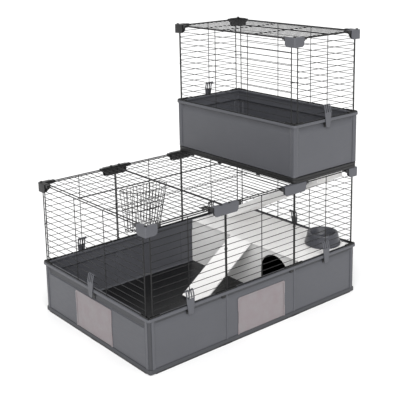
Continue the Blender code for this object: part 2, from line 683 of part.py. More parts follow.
def add_latches():
    lower = (-LENGTH / 2, LENGTH / 2, -WIDTH / 2, WIDTH / 2)
    upper = (UPPER_LEFT, LENGTH / 2, -WIDTH / 2, WIDTH / 2)
    upper_middle = (LENGTH / 2 - UPPER_LEFT) / 2
    spots = (
        ("latch_front_left", "front", LENGTH / 2 - MODULE, lower, 0.0),
        ("latch_front_right", "front", LENGTH / 2 + MODULE, lower, 0.0),
        ("latch_back_left", "back", LENGTH / 2 - MODULE, lower, 0.0),
        ("latch_back_right", "back", LENGTH / 2 + MODULE, lower, 0.0),
        ("latch_end_left", "left", WIDTH / 2, lower, 0.0),
        ("latch_end_right", "right", WIDTH / 2, lower, 0.0),
        ("latch_upper_front", "front", upper_middle, upper, UPPER_SHIFT),
        ("latch_upper_back", "back", upper_middle, upper, UPPER_SHIFT),
    )
    for name, face, centre, bounds, shift in spots:
        body, slot, pivot = latch_mesh(face, centre, bounds, shift)
        latch = add_object(name, body, "grey_plastic", pivot)
        boolean(latch, add_cutter(name + "_slot", slot), "DIFFERENCE")


def main():
    clear_scene()
    add_lower_tray()
    add_lower_grilles()
    add_lower_connectors()
    add_upper_cage()
    add_den()
    add_lower_ramp()
    add_upper_ramp()
    add_hay_rack()
    add_bowl()
    add_latches()


main()
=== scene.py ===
"""Looks of a two-storey wire rabbit cage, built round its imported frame.

The cage is a long tray of moulded walls with wire grilles above it, and a second, shorter cage that
stands on its right end. Each sub-assembly is a class that holds its sizes in metres and makes its
pieces; each finish is a frozen dataclass that makes its material.
"""

import logging
import math
from dataclasses import dataclass
from enum import Enum

import bmesh
import bpy
from mathutils import Matrix, Vector


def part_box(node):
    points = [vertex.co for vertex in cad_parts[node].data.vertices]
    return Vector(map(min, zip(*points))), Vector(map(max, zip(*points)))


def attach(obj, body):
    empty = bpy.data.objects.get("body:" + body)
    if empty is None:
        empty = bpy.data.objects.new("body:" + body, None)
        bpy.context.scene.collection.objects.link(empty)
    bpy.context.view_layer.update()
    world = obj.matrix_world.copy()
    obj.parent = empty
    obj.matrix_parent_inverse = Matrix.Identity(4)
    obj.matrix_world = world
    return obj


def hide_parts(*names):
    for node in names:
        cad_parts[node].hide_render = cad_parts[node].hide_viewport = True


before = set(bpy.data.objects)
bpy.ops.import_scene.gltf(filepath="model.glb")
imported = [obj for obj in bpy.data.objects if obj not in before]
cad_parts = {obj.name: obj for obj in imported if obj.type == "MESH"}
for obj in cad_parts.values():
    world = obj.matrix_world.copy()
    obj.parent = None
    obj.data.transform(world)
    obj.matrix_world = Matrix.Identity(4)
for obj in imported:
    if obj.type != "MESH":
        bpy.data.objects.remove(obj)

LOG = logging.getLogger("cage")
MODULE = 0.3525  # length of one grille module
BODY = "cage"  # the body that carries everything that doesn't move


class Slot(Enum):
    """The finishes of the cage: the name of the material slot and, where it needs one, a shade."""

    GREY = "grey_plastic"
    # Darker grey: painted shade in the coves and the corner notches, and the belt's darker grey
    CHARCOAL = "black_plastic charcoal"
    BLACK = "black_plastic"
    WHITE = "white_plastic"
    BOWL = "bowl_plastic"
    WINDOW = "frosted_window"
    WIRE = "black_wire"

    @property
    def record_name(self) -> str:
        """The record's name of the slot, without the shade."""
        return self.value.split()[0]


class Face(Enum):
    """The four sides of a storey. Front looks to -Y and left to -X."""

    FRONT = "front"
    BACK = "back"
    LEFT = "left"
    RIGHT = "right"


LONG_FACES = (Face.FRONT, Face.BACK)
SHORT_FACES = (Face.LEFT, Face.RIGHT)


class Joint(Enum):
    """What a straight tray wall ends against."""

    POST = "post"
    RIB = "rib"


def smooth(value: float) -> float:
    """Returns 0 below 0, 1 above 1 and an eased curve between."""
    value = min(1.0, max(0.0, value))
    return value * value * (3.0 - 2.0 * value)


def linear(colour: str) -> tuple[float, float, float, float]:
    """Turns an sRGB hex colour into linear light.

    Args:
        colour: six hex digits with a leading hash.

    Returns:
        Linear red, green, blue and an alpha of 1.
    """
    channels = [int(colour[i:i + 2], 16) / 255.0 for i in (1, 3, 5)]
    red, green, blue = (c / 12.92 if c <= 0.04045 else ((c + 0.055) / 1.055) ** 2.4 for c in channels)
    return red, green, blue, 1.0


def add_node(
    tree: bpy.types.NodeTree, kind: str, settings: dict | None = None, links: dict | None = None
) -> bpy.types.Node:
    """Adds one node to a shader tree.

    Args:
        tree: the material's or world's node tree.
        kind: the node's type name.
        settings: values of its properties or, where it has none of that name, of its inputs.
        links: output sockets by the input that they feed.

    Returns:
        The new node.
    """
    node = tree.nodes.new(kind)
    for key, value in (settings or {}).items():
        if isinstance(key, str) and hasattr(node, key):
            setattr(node, key, value)
        else:
            node.inputs[key].default_value = value
    for key, socket in (links or {}).items():
        tree.links.new(socket, node.inputs[key])
    return node


def shaded(colour: str, factor: float) -> tuple[float, float, float, float]:
    """Returns an sRGB hex colour in linear light, made darker or lighter by a factor."""
    red, green, blue, alpha = linear(colour)
    return red * factor, green * factor, blue * factor, alpha


def start_material(
    name: str, settings: dict[str, float]
) -> tuple[bpy.types.Material, bpy.types.NodeTree, bpy.types.Node, bpy.types.NodeSocket]:
    """Starts a material whose patterns stay with the piece that wears it.

    Args:
        name: the material's name.
        settings: values of the surface shader's inputs.

    Returns:
        The material, its tree, its surface shader and the socket of the piece's own coordinates.
    """
    material = bpy.data.materials.new(name)
    material.use_nodes = True
    tree = material.node_tree
    shader = tree.nodes["Principled BSDF"]
    for key, value in settings.items():
        shader.inputs[key].default_value = value
    return material, tree, shader, add_node(tree, "ShaderNodeTexCoord").outputs["Object"]


def from_columns(columns: tuple[Vector, ...]) -> Matrix:
    """Returns the matrix of four columns: the local x, y and z axes and the origin."""
    return Matrix([[column[row] for column in columns] for row in range(3)] + [[0.0, 0.0, 0.0, 1.0]])


def per_mm(size: float) -> float:
    """Returns the noise scale whose features are that many millimetres across."""
    return 1000.0 / size


# ---------------------------------------------------------------------------------------------------
# Finishes
# ---------------------------------------------------------------------------------------------------


@dataclass(frozen=True)
class MouldedPlastic:
    """Injection-moulded polypropylene: a satin skin with a fine spark-eroded grain.

    The melt leaves slow patches of lighter and darker colour, handling leaves faint pale scuffs, and
    corners polish paler than the flats.
    """

    name: str
    colour: str
    worn_colour: str
    roughness: float
    grain_mm: float = 1.4
    grain_height: float = 0.00004
    patch_mm: float = 120.0
    patch_share: float = 0.10
    scuff_share: float = 0.10
    ior: float = 1.49

    def build(self) -> bpy.types.Material:
        """Returns the finished material."""
        material, tree, shader, place = start_material(self.name, {"IOR": self.ior})
        patches = add_node(
            tree, "ShaderNodeTexNoise", {"Scale": per_mm(self.patch_mm), "Detail": 3.0}, {"Vector": place}
        )
        dark, light = shaded(self.colour, 1.0 - self.patch_share), shaded(self.colour, 1.0 + self.patch_share)
        shades = add_node(
            tree, "ShaderNodeMix", {"data_type": "RGBA", 6: dark, 7: light}, {0: patches.outputs["Fac"]}
        )
        # Scuffs run along the cage, a few millimetres wide and some centimetres long
        stretch = add_node(tree, "ShaderNodeMapping", {"Scale": (0.25, 0.25, 1.6)}, {"Vector": place})
        scuffs = add_node(
            tree, "ShaderNodeTexNoise", {"Scale": per_mm(9.0), "Detail": 5.0, "Roughness": 0.7},
            {"Vector": stretch.outputs["Vector"]},
        )
        worn = add_node(
            tree, "ShaderNodeMapRange", {1: 0.60, 2: 0.78, 3: 0.0, 4: self.scuff_share},
            {0: scuffs.outputs["Fac"]},
        )
        edges = add_node(
            tree, "ShaderNodeMapRange", {1: 0.52, 2: 0.62, 3: 0.0, 4: 0.35},
            {0: add_node(tree, "ShaderNodeNewGeometry").outputs["Pointiness"]},
        )
        wear = add_node(
            tree, "ShaderNodeMath", {"operation": "MAXIMUM"}, {0: worn.outputs[0], 1: edges.outputs[0]}
        )
        colour = add_node(
            tree, "ShaderNodeMix", {"data_type": "RGBA", 7: linear(self.worn_colour)},
            {0: wear.outputs[0], 6: shades.outputs[2]},
        )
        grain = add_node(
            tree, "ShaderNodeTexNoise", {"Scale": per_mm(self.grain_mm), "Detail": 2.0}, {"Vector": place}
        )
        sheen = add_node(
            tree, "ShaderNodeMapRange", {1: 0.3, 2: 0.7, 3: self.roughness - 0.06, 4: self.roughness + 0.07},
            {0: scuffs.outputs["Fac"]},
        )
        relief = add_node(
            tree, "ShaderNodeBump", {"Strength": 0.35, "Distance": self.grain_height},
            {"Height": grain.outputs["Fac"]},
        )
        tree.links.new(colour.outputs[2], shader.inputs["Base Color"])
        tree.links.new(sheen.outputs[0], shader.inputs["Roughness"])
        tree.links.new(relief.outputs[0], shader.inputs["Normal"])
        return material


@dataclass(frozen=True)
class CoatedWire:
    """Steel wire dipped in black epoxy: a smooth, slightly glossy skin, thicker at the welds."""

    name: str
    colour: str
    drip_mm: float = 5.0

    def build(self) -> bpy.types.Material:
        """Returns the finished material."""
        settings = {"IOR": 1.50, "Specular IOR Level": 0.35}
        material, tree, shader, place = start_material(self.name, settings)
        drips = add_node(
            tree, "ShaderNodeTexNoise", {"Scale": per_mm(self.drip_mm), "Detail": 3.0}, {"Vector": place}
        )
        colour = add_node(
            tree, "ShaderNodeMix",
            {"data_type": "RGBA", 6: shaded(self.colour, 0.75), 7: shaded(self.colour, 1.3)},
            {0: drips.outputs["Fac"]},
        )
        gloss = add_node(
            tree, "ShaderNodeMapRange", {1: 0.3, 2: 0.7, 3: 0.40, 4: 0.56}, {0: drips.outputs["Fac"]}
        )
        relief = add_node(
            tree, "ShaderNodeBump", {"Strength": 0.4, "Distance": 0.0002}, {"Height": drips.outputs["Fac"]}
        )
        tree.links.new(colour.outputs[2], shader.inputs["Base Color"])
        tree.links.new(gloss.outputs[0], shader.inputs["Roughness"])
        tree.links.new(relief.outputs[0], shader.inputs["Normal"])
        return material


@dataclass(frozen=True)
class FrostedSheet:
    """Frosted clear polypropylene: a milky sheet with a fine etched face and faint cloudy patches."""

    name: str
    colour: str
    warm_colour: str
    cloud_mm: float = 45.0
    frost_mm: float = 1.2

    def build(self) -> bpy.types.Material:
        """Returns the finished material."""
        settings = {"IOR": 1.49, "Transmission Weight": 0.12, "Coat Weight": 0.15, "Coat Roughness": 0.35}
        material, tree, shader, place = start_material(self.name, settings)
        clouds = add_node(
            tree, "ShaderNodeTexNoise", {"Scale": per_mm(self.cloud_mm), "Detail": 6.0, "Roughness": 0.62},
            {"Vector": place},
        )
        share = add_node(
            tree, "ShaderNodeMapRange", {1: 0.35, 2: 0.65, 3: 0.0, 4: 1.0}, {0: clouds.outputs["Fac"]}
        )
        colour = add_node(
            tree, "ShaderNodeMix",
            {"data_type": "RGBA", 6: linear(self.colour), 7: linear(self.warm_colour)},
            {0: share.outputs[0]},
        )
        frost = add_node(
            tree, "ShaderNodeTexNoise", {"Scale": per_mm(self.frost_mm), "Detail": 2.0}, {"Vector": place}
        )
        rough = add_node(
            tree, "ShaderNodeMapRange", {1: 0.3, 2: 0.7, 3: 0.42, 4: 0.58}, {0: clouds.outputs["Fac"]}
        )
        relief = add_node(
            tree, "ShaderNodeBump", {"Strength": 0.4, "Distance": 0.00008}, {"Height": frost.outputs["Fac"]}
        )
        tree.links.new(colour.outputs[2], shader.inputs["Base Color"])
        tree.links.new(rough.outputs[0], shader.inputs["Roughness"])
        tree.links.new(relief.outputs[0], shader.inputs["Normal"])
        return material


FINISHES = {
    # Satin charcoal polypropylene of the walls, connectors and latches
    Slot.GREY: MouldedPlastic("moulded_grey_polypropylene", "#48494E", "#64656B", 0.46),
    # Darker grey: painted shade on the cove strips and the corner columns, and the darker grey of the belt
    # round the foot
    Slot.CHARCOAL: MouldedPlastic("moulded_dark_grey_and_shade_polypropylene", "#323337", "#424347", 0.50),
    # The same plastic in black, with a little more gloss
    Slot.BLACK: MouldedPlastic(
        "moulded_black_polypropylene", "#070708", "#161617", 0.42, scuff_share=0.14,
    ),
    # White sheet: cleaner and smoother, so its patches and scuffs are faint and grey
    Slot.WHITE: MouldedPlastic(
        "moulded_white_polypropylene", "#F3F2F1", "#DCDAD8", 0.40,
        grain_mm=2.0, patch_share=0.02, scuff_share=0.2,
    ),
    Slot.BOWL: MouldedPlastic("glossy_moulded_bowl", "#3C3D43", "#5C5E64", 0.30, grain_mm=2.5),
    Slot.WINDOW: FrostedSheet("frosted_polypropylene_sheet", "#807B7D", "#7E7477"),
    Slot.WIRE: CoatedWire("epoxy_coated_steel_wire", "#0C0C0D"),
}


# ---------------------------------------------------------------------------------------------------
# Shapes and places
# ---------------------------------------------------------------------------------------------------


class Shape:
    """A mesh under construction, in metres, in the frame of the cage."""

    def __init__(self) -> None:
        """Starts with no faces."""
        self.mesh = bmesh.new()

    def loft(self, rings: list[list[Vector]], closed: bool = False) -> None:
        """Joins rings of equal length into a skin.

        Args:
            rings: the cross sections in order.
            closed: whether the last ring joins the first; otherwise both ends are capped.
        """
        made = [[self.mesh.verts.new(point) for point in ring] for ring in rings]
        pairs = list(zip(made, made[1:]))
        if closed:
            pairs.append((made[-1], made[0]))
        count = len(made[0])
        for near, far in pairs:
            for i in range(count):
                j = (i + 1) % count
                self.mesh.faces.new((near[i], near[j], far[j], far[i]))
        if not closed:
            self.mesh.faces.new(made[0])
            self.mesh.faces.new(list(reversed(made[-1])))

    def wire(self, path: list[Vector], radius: float, closed: bool = False, sides: int = 8) -> None:
        """Sweeps a round wire along a path.

        Args:
            path: the points of its centre line.
            radius: the wire's radius.
            closed: whether the path is a loop.
            sides: flats round the wire.
        """
        count = len(path)
        rings = []
        across = None
        for i, point in enumerate(path):
            before = path[i - 1] if i or closed else point
            after = path[(i + 1) % count] if i < count - 1 or closed else point
            ahead = (after - before).normalized()
            if across is None:
                across = ahead.orthogonal()
            across = (across - ahead * across.dot(ahead)).normalized()
            other = ahead.cross(across)
            turns = [math.tau * k / sides for k in range(sides)]
            rings.append([point + radius * (math.cos(t) * across + math.sin(t) * other) for t in turns])
        self.loft(rings, closed)

    def prism(self, outline: list[tuple[float, float]], place: Matrix, depth: float) -> None:
        """Extrudes a flat outline.

        Args:
            outline: points in the local x and y.
            place: the matrix from local to cage coordinates.
            depth: how far it reaches along the local z.
        """
        near = [place @ Vector((x, y, 0.0)) for x, y in outline]
        far = [place @ Vector((x, y, depth)) for x, y in outline]
        self.loft([near, far])

    def block(self, low: Vector, high: Vector) -> None:
        """Adds a bar between two opposite corners."""
        low, high = Vector(map(min, low, high)), Vector(map(max, low, high))
        base = [(low.x, low.y), (high.x, low.y), (high.x, high.y), (low.x, high.y)]
        self.prism(base, Matrix.Translation((0.0, 0.0, low.z)), high.z - low.z)

    def turned(self, profile: list[tuple[float, float]], centre: Vector, steps: int = 48) -> None:
        """Turns a closed profile of (radius, height) points round a vertical axis."""
        rings = []
        for step in range(steps):
            angle = math.tau * step / steps
            out = Vector((math.cos(angle), math.sin(angle), 0.0))
            rings.append([centre + out * radius + Vector((0.0, 0.0, height)) for radius, height in profile])
        self.loft(rings, closed=True)


@dataclass(frozen=True)
class Storey:
    """The outer faces and the heights of one storey."""

    left: float
    right: float
    front: float
    back: float
    bottom: float
    rim: float
    roof: float

    @classmethod
    def around(cls, left_wall: str, right_wall: str, roof: str) -> "Storey":
        """Reads a storey from the boxes of its two end walls and one of its roof grilles."""
        low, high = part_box(left_wall)
        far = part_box(right_wall)[1]
        return cls(low.x, far.x, low.y, high.y, low.z, high.z, sum(p.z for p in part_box(roof)) / 2)

    def length(self, face: Face) -> float:
        """Returns the length of a face."""
        return self.right - self.left if face in LONG_FACES else self.back - self.front

    def inward(self, face: Face) -> Vector:
        """Returns the direction from a face into the cage."""
        return {
            Face.FRONT: Vector((0.0, 1.0, 0.0)), Face.BACK: Vector((0.0, -1.0, 0.0)),
            Face.LEFT: Vector((1.0, 0.0, 0.0)), Face.RIGHT: Vector((-1.0, 0.0, 0.0)),
        }[face]

    def spot(self, face: Face, along: float, depth: float, height: float) -> Vector:
        """Finds a point by its place on a face.

        Args:
            face: the side of the cage.
            along: the distance from the face's -X or -Y end.
            depth: the distance in from the outer face of the rim.
            height: the height above the ground.

        Returns:
            The point in cage coordinates.
        """
        corner = {
            Face.FRONT: (self.left + along, self.front), Face.BACK: (self.left + along, self.back),
            Face.LEFT: (self.left, self.front + along), Face.RIGHT: (self.right, self.front + along),
        }[face]
        return Vector((*corner, height)) + self.inward(face) * depth

    def plane(self, face: Face, along: float, depth: float, height: float) -> Matrix:
        """Returns the matrix whose local x runs along a face, y upward and z into the cage."""
        origin = self.spot(face, along, depth, height)
        run = self.spot(face, along + 1.0, depth, height) - origin
        return from_columns((run, Vector((0.0, 0.0, 1.0)), self.inward(face), origin))

    def corner(self, side: Face, end: Face) -> Vector:
        """Returns the ground point of the upright edge between a short face and a long one."""
        x = self.left if side is Face.LEFT else self.right
        y = self.front if end is Face.FRONT else self.back
        return Vector((x, y, 0.0))


class Workshop:
    """Turns shapes into finished pieces that ride on the cage's bodies."""

    def __init__(self) -> None:
        """Makes every finish once."""
        self.materials = {slot: finish.build() for slot, finish in FINISHES.items()}
        self.pieces = 0

    def place(
        self, name: str, shape: Shape, slot: Slot, body: str = BODY, replaces: tuple[str, ...] = (),
        bevel: float = 0.0, sharp: float = 35.0,
    ) -> bpy.types.Object:
        """Makes a piece of a shape.

        Args:
            name: the piece's name.
            shape: its mesh, which this uses up.
            slot: its finish.
            body: the body that it rides on.
            replaces: the frame's nodes that it stands for.
            bevel: the radius of its rounded edges.
            sharp: the angle in degrees above which an edge stays crisp.

        Returns:
            The new object.
        """
        bmesh.ops.recalc_face_normals(shape.mesh, faces=shape.mesh.faces[:])
        mesh = bpy.data.meshes.new(name)
        shape.mesh.to_mesh(mesh)
        shape.mesh.free()
        mesh.shade_smooth()
        mesh.set_sharp_from_angle(angle=math.radians(sharp))
        mesh.materials.append(self.materials[slot])
        piece = bpy.data.objects.new(name, mesh)
        bpy.context.scene.collection.objects.link(piece)
        if bevel:
            self.soften(piece, bevel)
        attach(piece, body)
        slot.record_name
        if replaces:
            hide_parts(*replaces)
        self.pieces += 1
        LOG.info("%s: %d faces on %s", name, len(mesh.polygons), body)
        return piece

    def soften(self, piece: bpy.types.Object, radius: float) -> None:
        """Rounds the crisp edges of a piece."""
        rounding = piece.modifiers.new("rounded_edges", "BEVEL")
        rounding.width = radius
        rounding.segments = 2
        rounding.limit_method = "ANGLE"
        rounding.angle_limit = math.radians(32)
        rounding.harden_normals = True

    def dress(self, node: str, slot: Slot, bevel: float = 0.0008) -> None:
        """Gives one of the frame's own nodes its finish and softened edges."""
        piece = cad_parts[node]
        piece.data.materials.clear()
        piece.data.materials.append(self.materials[slot])
        weld = piece.modifiers.new("welded_corners", "WELD")
        weld.merge_threshold = 0.00002
        self.soften(piece, bevel)
        LOG.info("%s: the frame's own node", node)


# ---------------------------------------------------------------------------------------------------
# Tray
# ---------------------------------------------------------------------------------------------------


@dataclass(frozen=True)
class WallPoint:
    """One station of a tray wall: where it stands and what its section is like there."""

    place: tuple[float, float]
    inward: tuple[float, float]
    post: float = 0.0
    run: float = 1.0
    corner: float = 0.016
    pilaster: float = 0.0
    groove: float = 0.0
    ledge: float = 0.0
    mitre: tuple[float, float, float, float] | None = None

    @classmethod
    def at(cls, place: Vector, inward: Vector, **details: float | tuple[float, ...]) -> "WallPoint":
        """Makes a station from vectors, whose heights don't count."""
        return cls(place.to_2d().to_tuple(), inward.to_2d().to_tuple(), **details)


@dataclass(frozen=True)
class TrayWalls:
    """The moulded walls of one tray: a flanged rim, a cove under it, flat panels and corner posts."""

    storey: Storey
    lower: bool = False  # the lower tray has corner columns and a stepped cove on its short walls
    panel: float = 0.0070
    post: float = 0.0050
    inside: float = 0.0125
    pilaster: float = 0.0152
    rim_height: float = 0.0105
    rim_reach: float = 0.0200
    cove_height: float = 0.0440
    cove_depth: float = 0.0052
    band: float = 0.0172
    slit: float = 0.0024
    post_reach: float = 0.0300
    notch_reach: float = 0.0165
    notch_depth: float = 0.0045
    corner_radius: float = 0.0110
    column_radius: float = 0.0075
    rib: float = 0.0032
    foot_height: float = 0.0120

    def section(self, point: WallPoint) -> list[tuple[float, float]]:
        """Returns the wall's cross section at a station as (depth from the rim's face, height)."""
        top, bottom = self.storey.rim, self.storey.bottom
        face = self.panel + (self.post - self.panel) * point.post
        fade = smooth(point.run / 0.004) * (1.0 - point.post)
        reach = min(point.run, point.corner)
        lift = point.corner - math.sqrt(point.corner ** 2 - (point.corner - reach) ** 2)
        high = top - self.rim_height
        low = top - self.cove_height + lift
        outline = [
            (0.0024, top), (0.0007, top - 0.0007), (0.0, top - 0.0024), (0.0, high + 0.0014), (0.0009, high),
        ]
        for share in (1.0, 0.9, 0.8, 0.68, 0.56, 0.44, 0.32, 0.2, 0.1, 0.05, 0.0):
            eased = self.cove_depth * smooth(share / 0.9)
            stepped = self.cove_depth * smooth(share / 0.10) * (0.82 + 0.18 * share)
            sunk = eased + (stepped - eased) * point.ledge
            outline.append((face + fade * sunk + point.groove, low + (high - 0.0006 - low) * share))
        foot = bottom + self.foot_height
        panel = face + point.groove
        outline += [
            (panel, low - 0.0010), (panel, foot + 0.0030), (face, foot), (face, bottom + 0.0012),
            (face + 0.0012, bottom),
        ]
        inner = self.inside + (self.pilaster - self.inside) * point.pilaster
        ledge = top - self.cove_height - 0.001
        outline += [
            (self.inside, bottom), (inner + 0.0045, bottom + 0.0066), (inner + 0.0018, bottom + 0.0095),
            (inner, bottom + 0.0150), (inner, ledge - 0.0052), (inner - self.slit, ledge - 0.0040),
            (inner - self.slit, ledge), (self.band + 0.0002, ledge), (self.band + 0.0014, ledge + 0.0014),
            (self.band, top - 0.0190),
        ]
        span = self.rim_reach - self.band
        for step in range(1, 5):
            turn = math.pi / 2 * step / 4
            depth, rise = span * (1.0 - math.cos(turn)), 0.0125 * math.sin(turn)
            outline.append((self.band + depth, top - 0.0190 + rise))
        outline += [(self.rim_reach, top - 0.0012), (self.rim_reach - 0.0012, top)]
        return outline

    def straight(self, face: Face, start: float, end: float, joints: tuple[Joint, Joint]) -> list[WallPoint]:
        """Returns the stations of a straight panel.

        Args:
            face: the side of the tray.
            start: where the panel starts, from the face's -X or -Y end.
            end: where it ends.
            joints: what it meets at its start and at its end.

        Returns:
            Stations in order along the face.
        """
        ribs = [self.rib if joint is Joint.RIB else 0.0 for joint in joints]
        corners = [0.007 if joint is Joint.RIB else 0.016 for joint in joints]
        belts = [0.016 if joint is Joint.RIB else 0.010 for joint in joints]
        offsets = [0.0, 0.0007, 0.0015, 0.0025, 0.0040, 0.0060, 0.0085, 0.0120, 0.0160, 0.030]
        marks = {start, end, (start + end) / 2}
        for side, origin in ((0, start), (1, end)):
            sign = 1.0 if side == 0 else -1.0
            marks |= {origin + sign * (ribs[side] + offset) for offset in offsets}
            marks |= {origin + sign * (belts[side] + offset) for offset in (0.0, 0.0012)}
            if ribs[side]:
                marks.add(origin + sign * (ribs[side] - 0.0008))
        inward = self.storey.inward(face)
        stations = []
        for mark in sorted(marks):
            side = 0 if mark - start <= end - mark else 1
            distance = (mark - start, end - mark)[side]
            run = distance - ribs[side]
            stations.append(WallPoint.at(
                self.storey.spot(face, mark, 0.0, 0.0), inward, post=1.0 if run < -0.0002 else 0.0,
                run=max(run, 0.0), corner=corners[side],
                pilaster=1.0 - smooth((distance - belts[side]) / 0.0012),
                ledge=1.0 if self.lower and face in SHORT_FACES else 0.0,
            ))
        return stations

    def corner_post(self, side: Face, end: Face) -> list[WallPoint]:
        """Returns the stations round a corner post, from the front or back face to the side face."""
        turn_x = self.storey.inward(side)
        turn_y = self.storey.inward(end)
        diagonal = turn_x + turn_y
        corner = self.storey.corner(side, end)
        pivot = corner + diagonal * self.corner_radius
        stations = []
        notch = self.notch_depth if self.lower else 0.0
        flats = (
            (self.post_reach, 0.0), (self.post_reach - 0.0012, 0.0009), (self.post_reach - 0.0024, 0.0),
            (self.notch_reach + 0.0009, 0.0), (self.notch_reach + 0.0002, notch * 0.15),
            (self.notch_reach, notch),
        )
        mitre = (corner.x, corner.y, diagonal.x, diagonal.y)
        for reach, groove in flats:
            place = corner + turn_x * reach
            stations.append(WallPoint.at(place, turn_y, post=1.0, groove=groove))
        steps = 6
        for step in range(steps + 1):
            angle = math.pi / 2 * step / steps
            inward = turn_x * math.sin(angle) + turn_y * math.cos(angle)
            place = pivot - inward * self.corner_radius
            stations.append(WallPoint.at(place, inward, post=1.0, groove=notch, mitre=mitre))
        for reach, groove in reversed(flats):
            place = corner + turn_y * reach
            stations.append(WallPoint.at(place, turn_x, post=1.0, groove=groove))
        return stations

    def shape(self, stations: list[WallPoint]) -> Shape:
        """Sweeps the section through stations."""
        shape = Shape()
        shape.loft([[self.spot(point, d, z) for d, z in self.section(point)] for point in stations])
        return shape

    def spot(self, point: WallPoint, depth: float, height: float) -> Vector:
        """Returns a point of the section; deeper than the corner's radius the two walls meet in a mitre."""
        if point.mitre and depth > self.corner_radius:
            x, y, dx, dy = point.mitre
        else:
            (x, y), (dx, dy) = point.place, point.inward
        return Vector((x + dx * depth, y + dy * depth, height))

    def column(self, side: Face, end: Face) -> Shape:
        """Makes the round column of painted shade that stands in a corner's notch, under the flange."""
        storey = self.storey
        radius = self.column_radius
        inward = storey.inward(side) + storey.inward(end)
        centre = storey.corner(side, end) + inward * (self.post + 0.0016 + radius)
        shape = Shape()
        outline = []
        for step in range(24):
            turn = math.tau * step / 24
            outline.append((centre.x + radius * math.cos(turn), centre.y + radius * math.sin(turn)))
        foot = storey.bottom + 0.0130
        place = Matrix.Translation((0.0, 0.0, foot))
        shape.prism(outline, place, storey.rim - self.rim_height - 0.0004 - foot)
        return shape

    def end_wall(self, face: Face) -> Shape:
        """Makes an end wall with the corner posts at its two ends."""
        length = self.storey.length(face)
        first = self.corner_post(face, Face.FRONT)
        last = list(reversed(self.corner_post(face, Face.BACK)))
        joints = (Joint.POST, Joint.POST)
        middle = self.straight(face, self.post_reach + 0.0006, length - self.post_reach - 0.0006, joints)
        return self.shape(first + middle + last)

    def cove_shade_strip(self, face: Face) -> Shape:
        """Makes the strip of painted shade that lies in the cove under the flange, with round lower corners.
        """
        inset = self.post_reach + 0.0042
        half = self.storey.length(face) / 2 - inset
        high = self.storey.rim - self.rim_height - 0.0004
        rise = self.shade_strip_rise(face)
        low, radius = high - rise, min(0.0125, rise * 0.8)
        outline = [(half, high), (-half, high)]
        for sign in (-1.0, 1.0):
            turns = range(7) if sign < 0 else range(6, -1, -1)
            for step in turns:
                turn = math.pi / 2 * step / 6
                outline.append((
                    sign * (half - radius + radius * math.cos(turn)), low + radius - radius * math.sin(turn),
                ))
        depth = self.panel + self.cove_depth * 0.68
        shape = Shape()
        centre = self.storey.length(face) / 2
        near = [self.storey.spot(face, centre + u, depth, z) for u, z in outline]
        far = [self.storey.spot(face, centre + u, depth + 0.0014, z) for u, z in outline]
        shape.loft([near, far])
        return shape

    def shade_strip_rise(self, face: Face) -> float:
        """Returns how tall the strip of painted shade is: tall on the lower ends, low on the sides, a line
        above.
        """
        if not self.lower:
            return 0.0050
        return 0.0281 if face in SHORT_FACES else 0.0135

    def side_wall(self, node: str, face: Face) -> Shape:
        """Makes a front or back panel as long as the node that it replaces."""
        low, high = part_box(node)
        start, end = low.x - self.storey.left, high.x - self.storey.left
        length = self.storey.length(face)
        joints = (
            Joint.POST if start < self.post_reach + 0.005 else Joint.RIB,
            Joint.POST if end > length - self.post_reach - 0.005 else Joint.RIB,
        )
        return self.shape(self.straight(face, start, end, joints))


@dataclass(frozen=True)
class Tray:
    """The lower or upper tray: moulded walls with strips of painted shade in the coves and, below, corner
    columns of painted shade.
    """

    storey: Storey
    prefix: str
    side_panels: tuple[str, ...]

    def build(self, shop: Workshop) -> None:
        """Makes the walls, the strips of painted shade in the coves and the lower tray's corner columns of
        painted shade.
        """
        walls = TrayWalls(self.storey, lower=not self.prefix)
        mouldings = {self.end_node(face): walls.end_wall(face) for face in SHORT_FACES}
        for face in LONG_FACES:
            for panel in self.side_panels:
                node = f"{self.prefix}wall_{face.value}{panel}"
                mouldings[node] = walls.side_wall(node, face)
        for node, shape in mouldings.items():
            shop.place(f"{node}_moulding", shape, Slot.GREY, replaces=(node,), sharp=40)
        # Strips of darker grey in each cove under the flange: painted shade
        for face in Face:
            name = f"{self.prefix}cove_shade_strip_{face.value}"
            shop.place(name, walls.cove_shade_strip(face), Slot.CHARCOAL, bevel=0.0003)
        if not walls.lower:
            return
        # Round columns of darker grey in the corner notches: painted shade
        for side in SHORT_FACES:
            for end in LONG_FACES:
                name = f"corner_shade_column_{end.value}_{side.value}"
                shop.place(name, walls.column(side, end), Slot.CHARCOAL, bevel=0.0005)

    def end_node(self, face: Face) -> str:
        """Returns the name of the end wall's node."""
        return f"upper_wall_{face.value}" if self.prefix else f"wall_end_{face.value}"


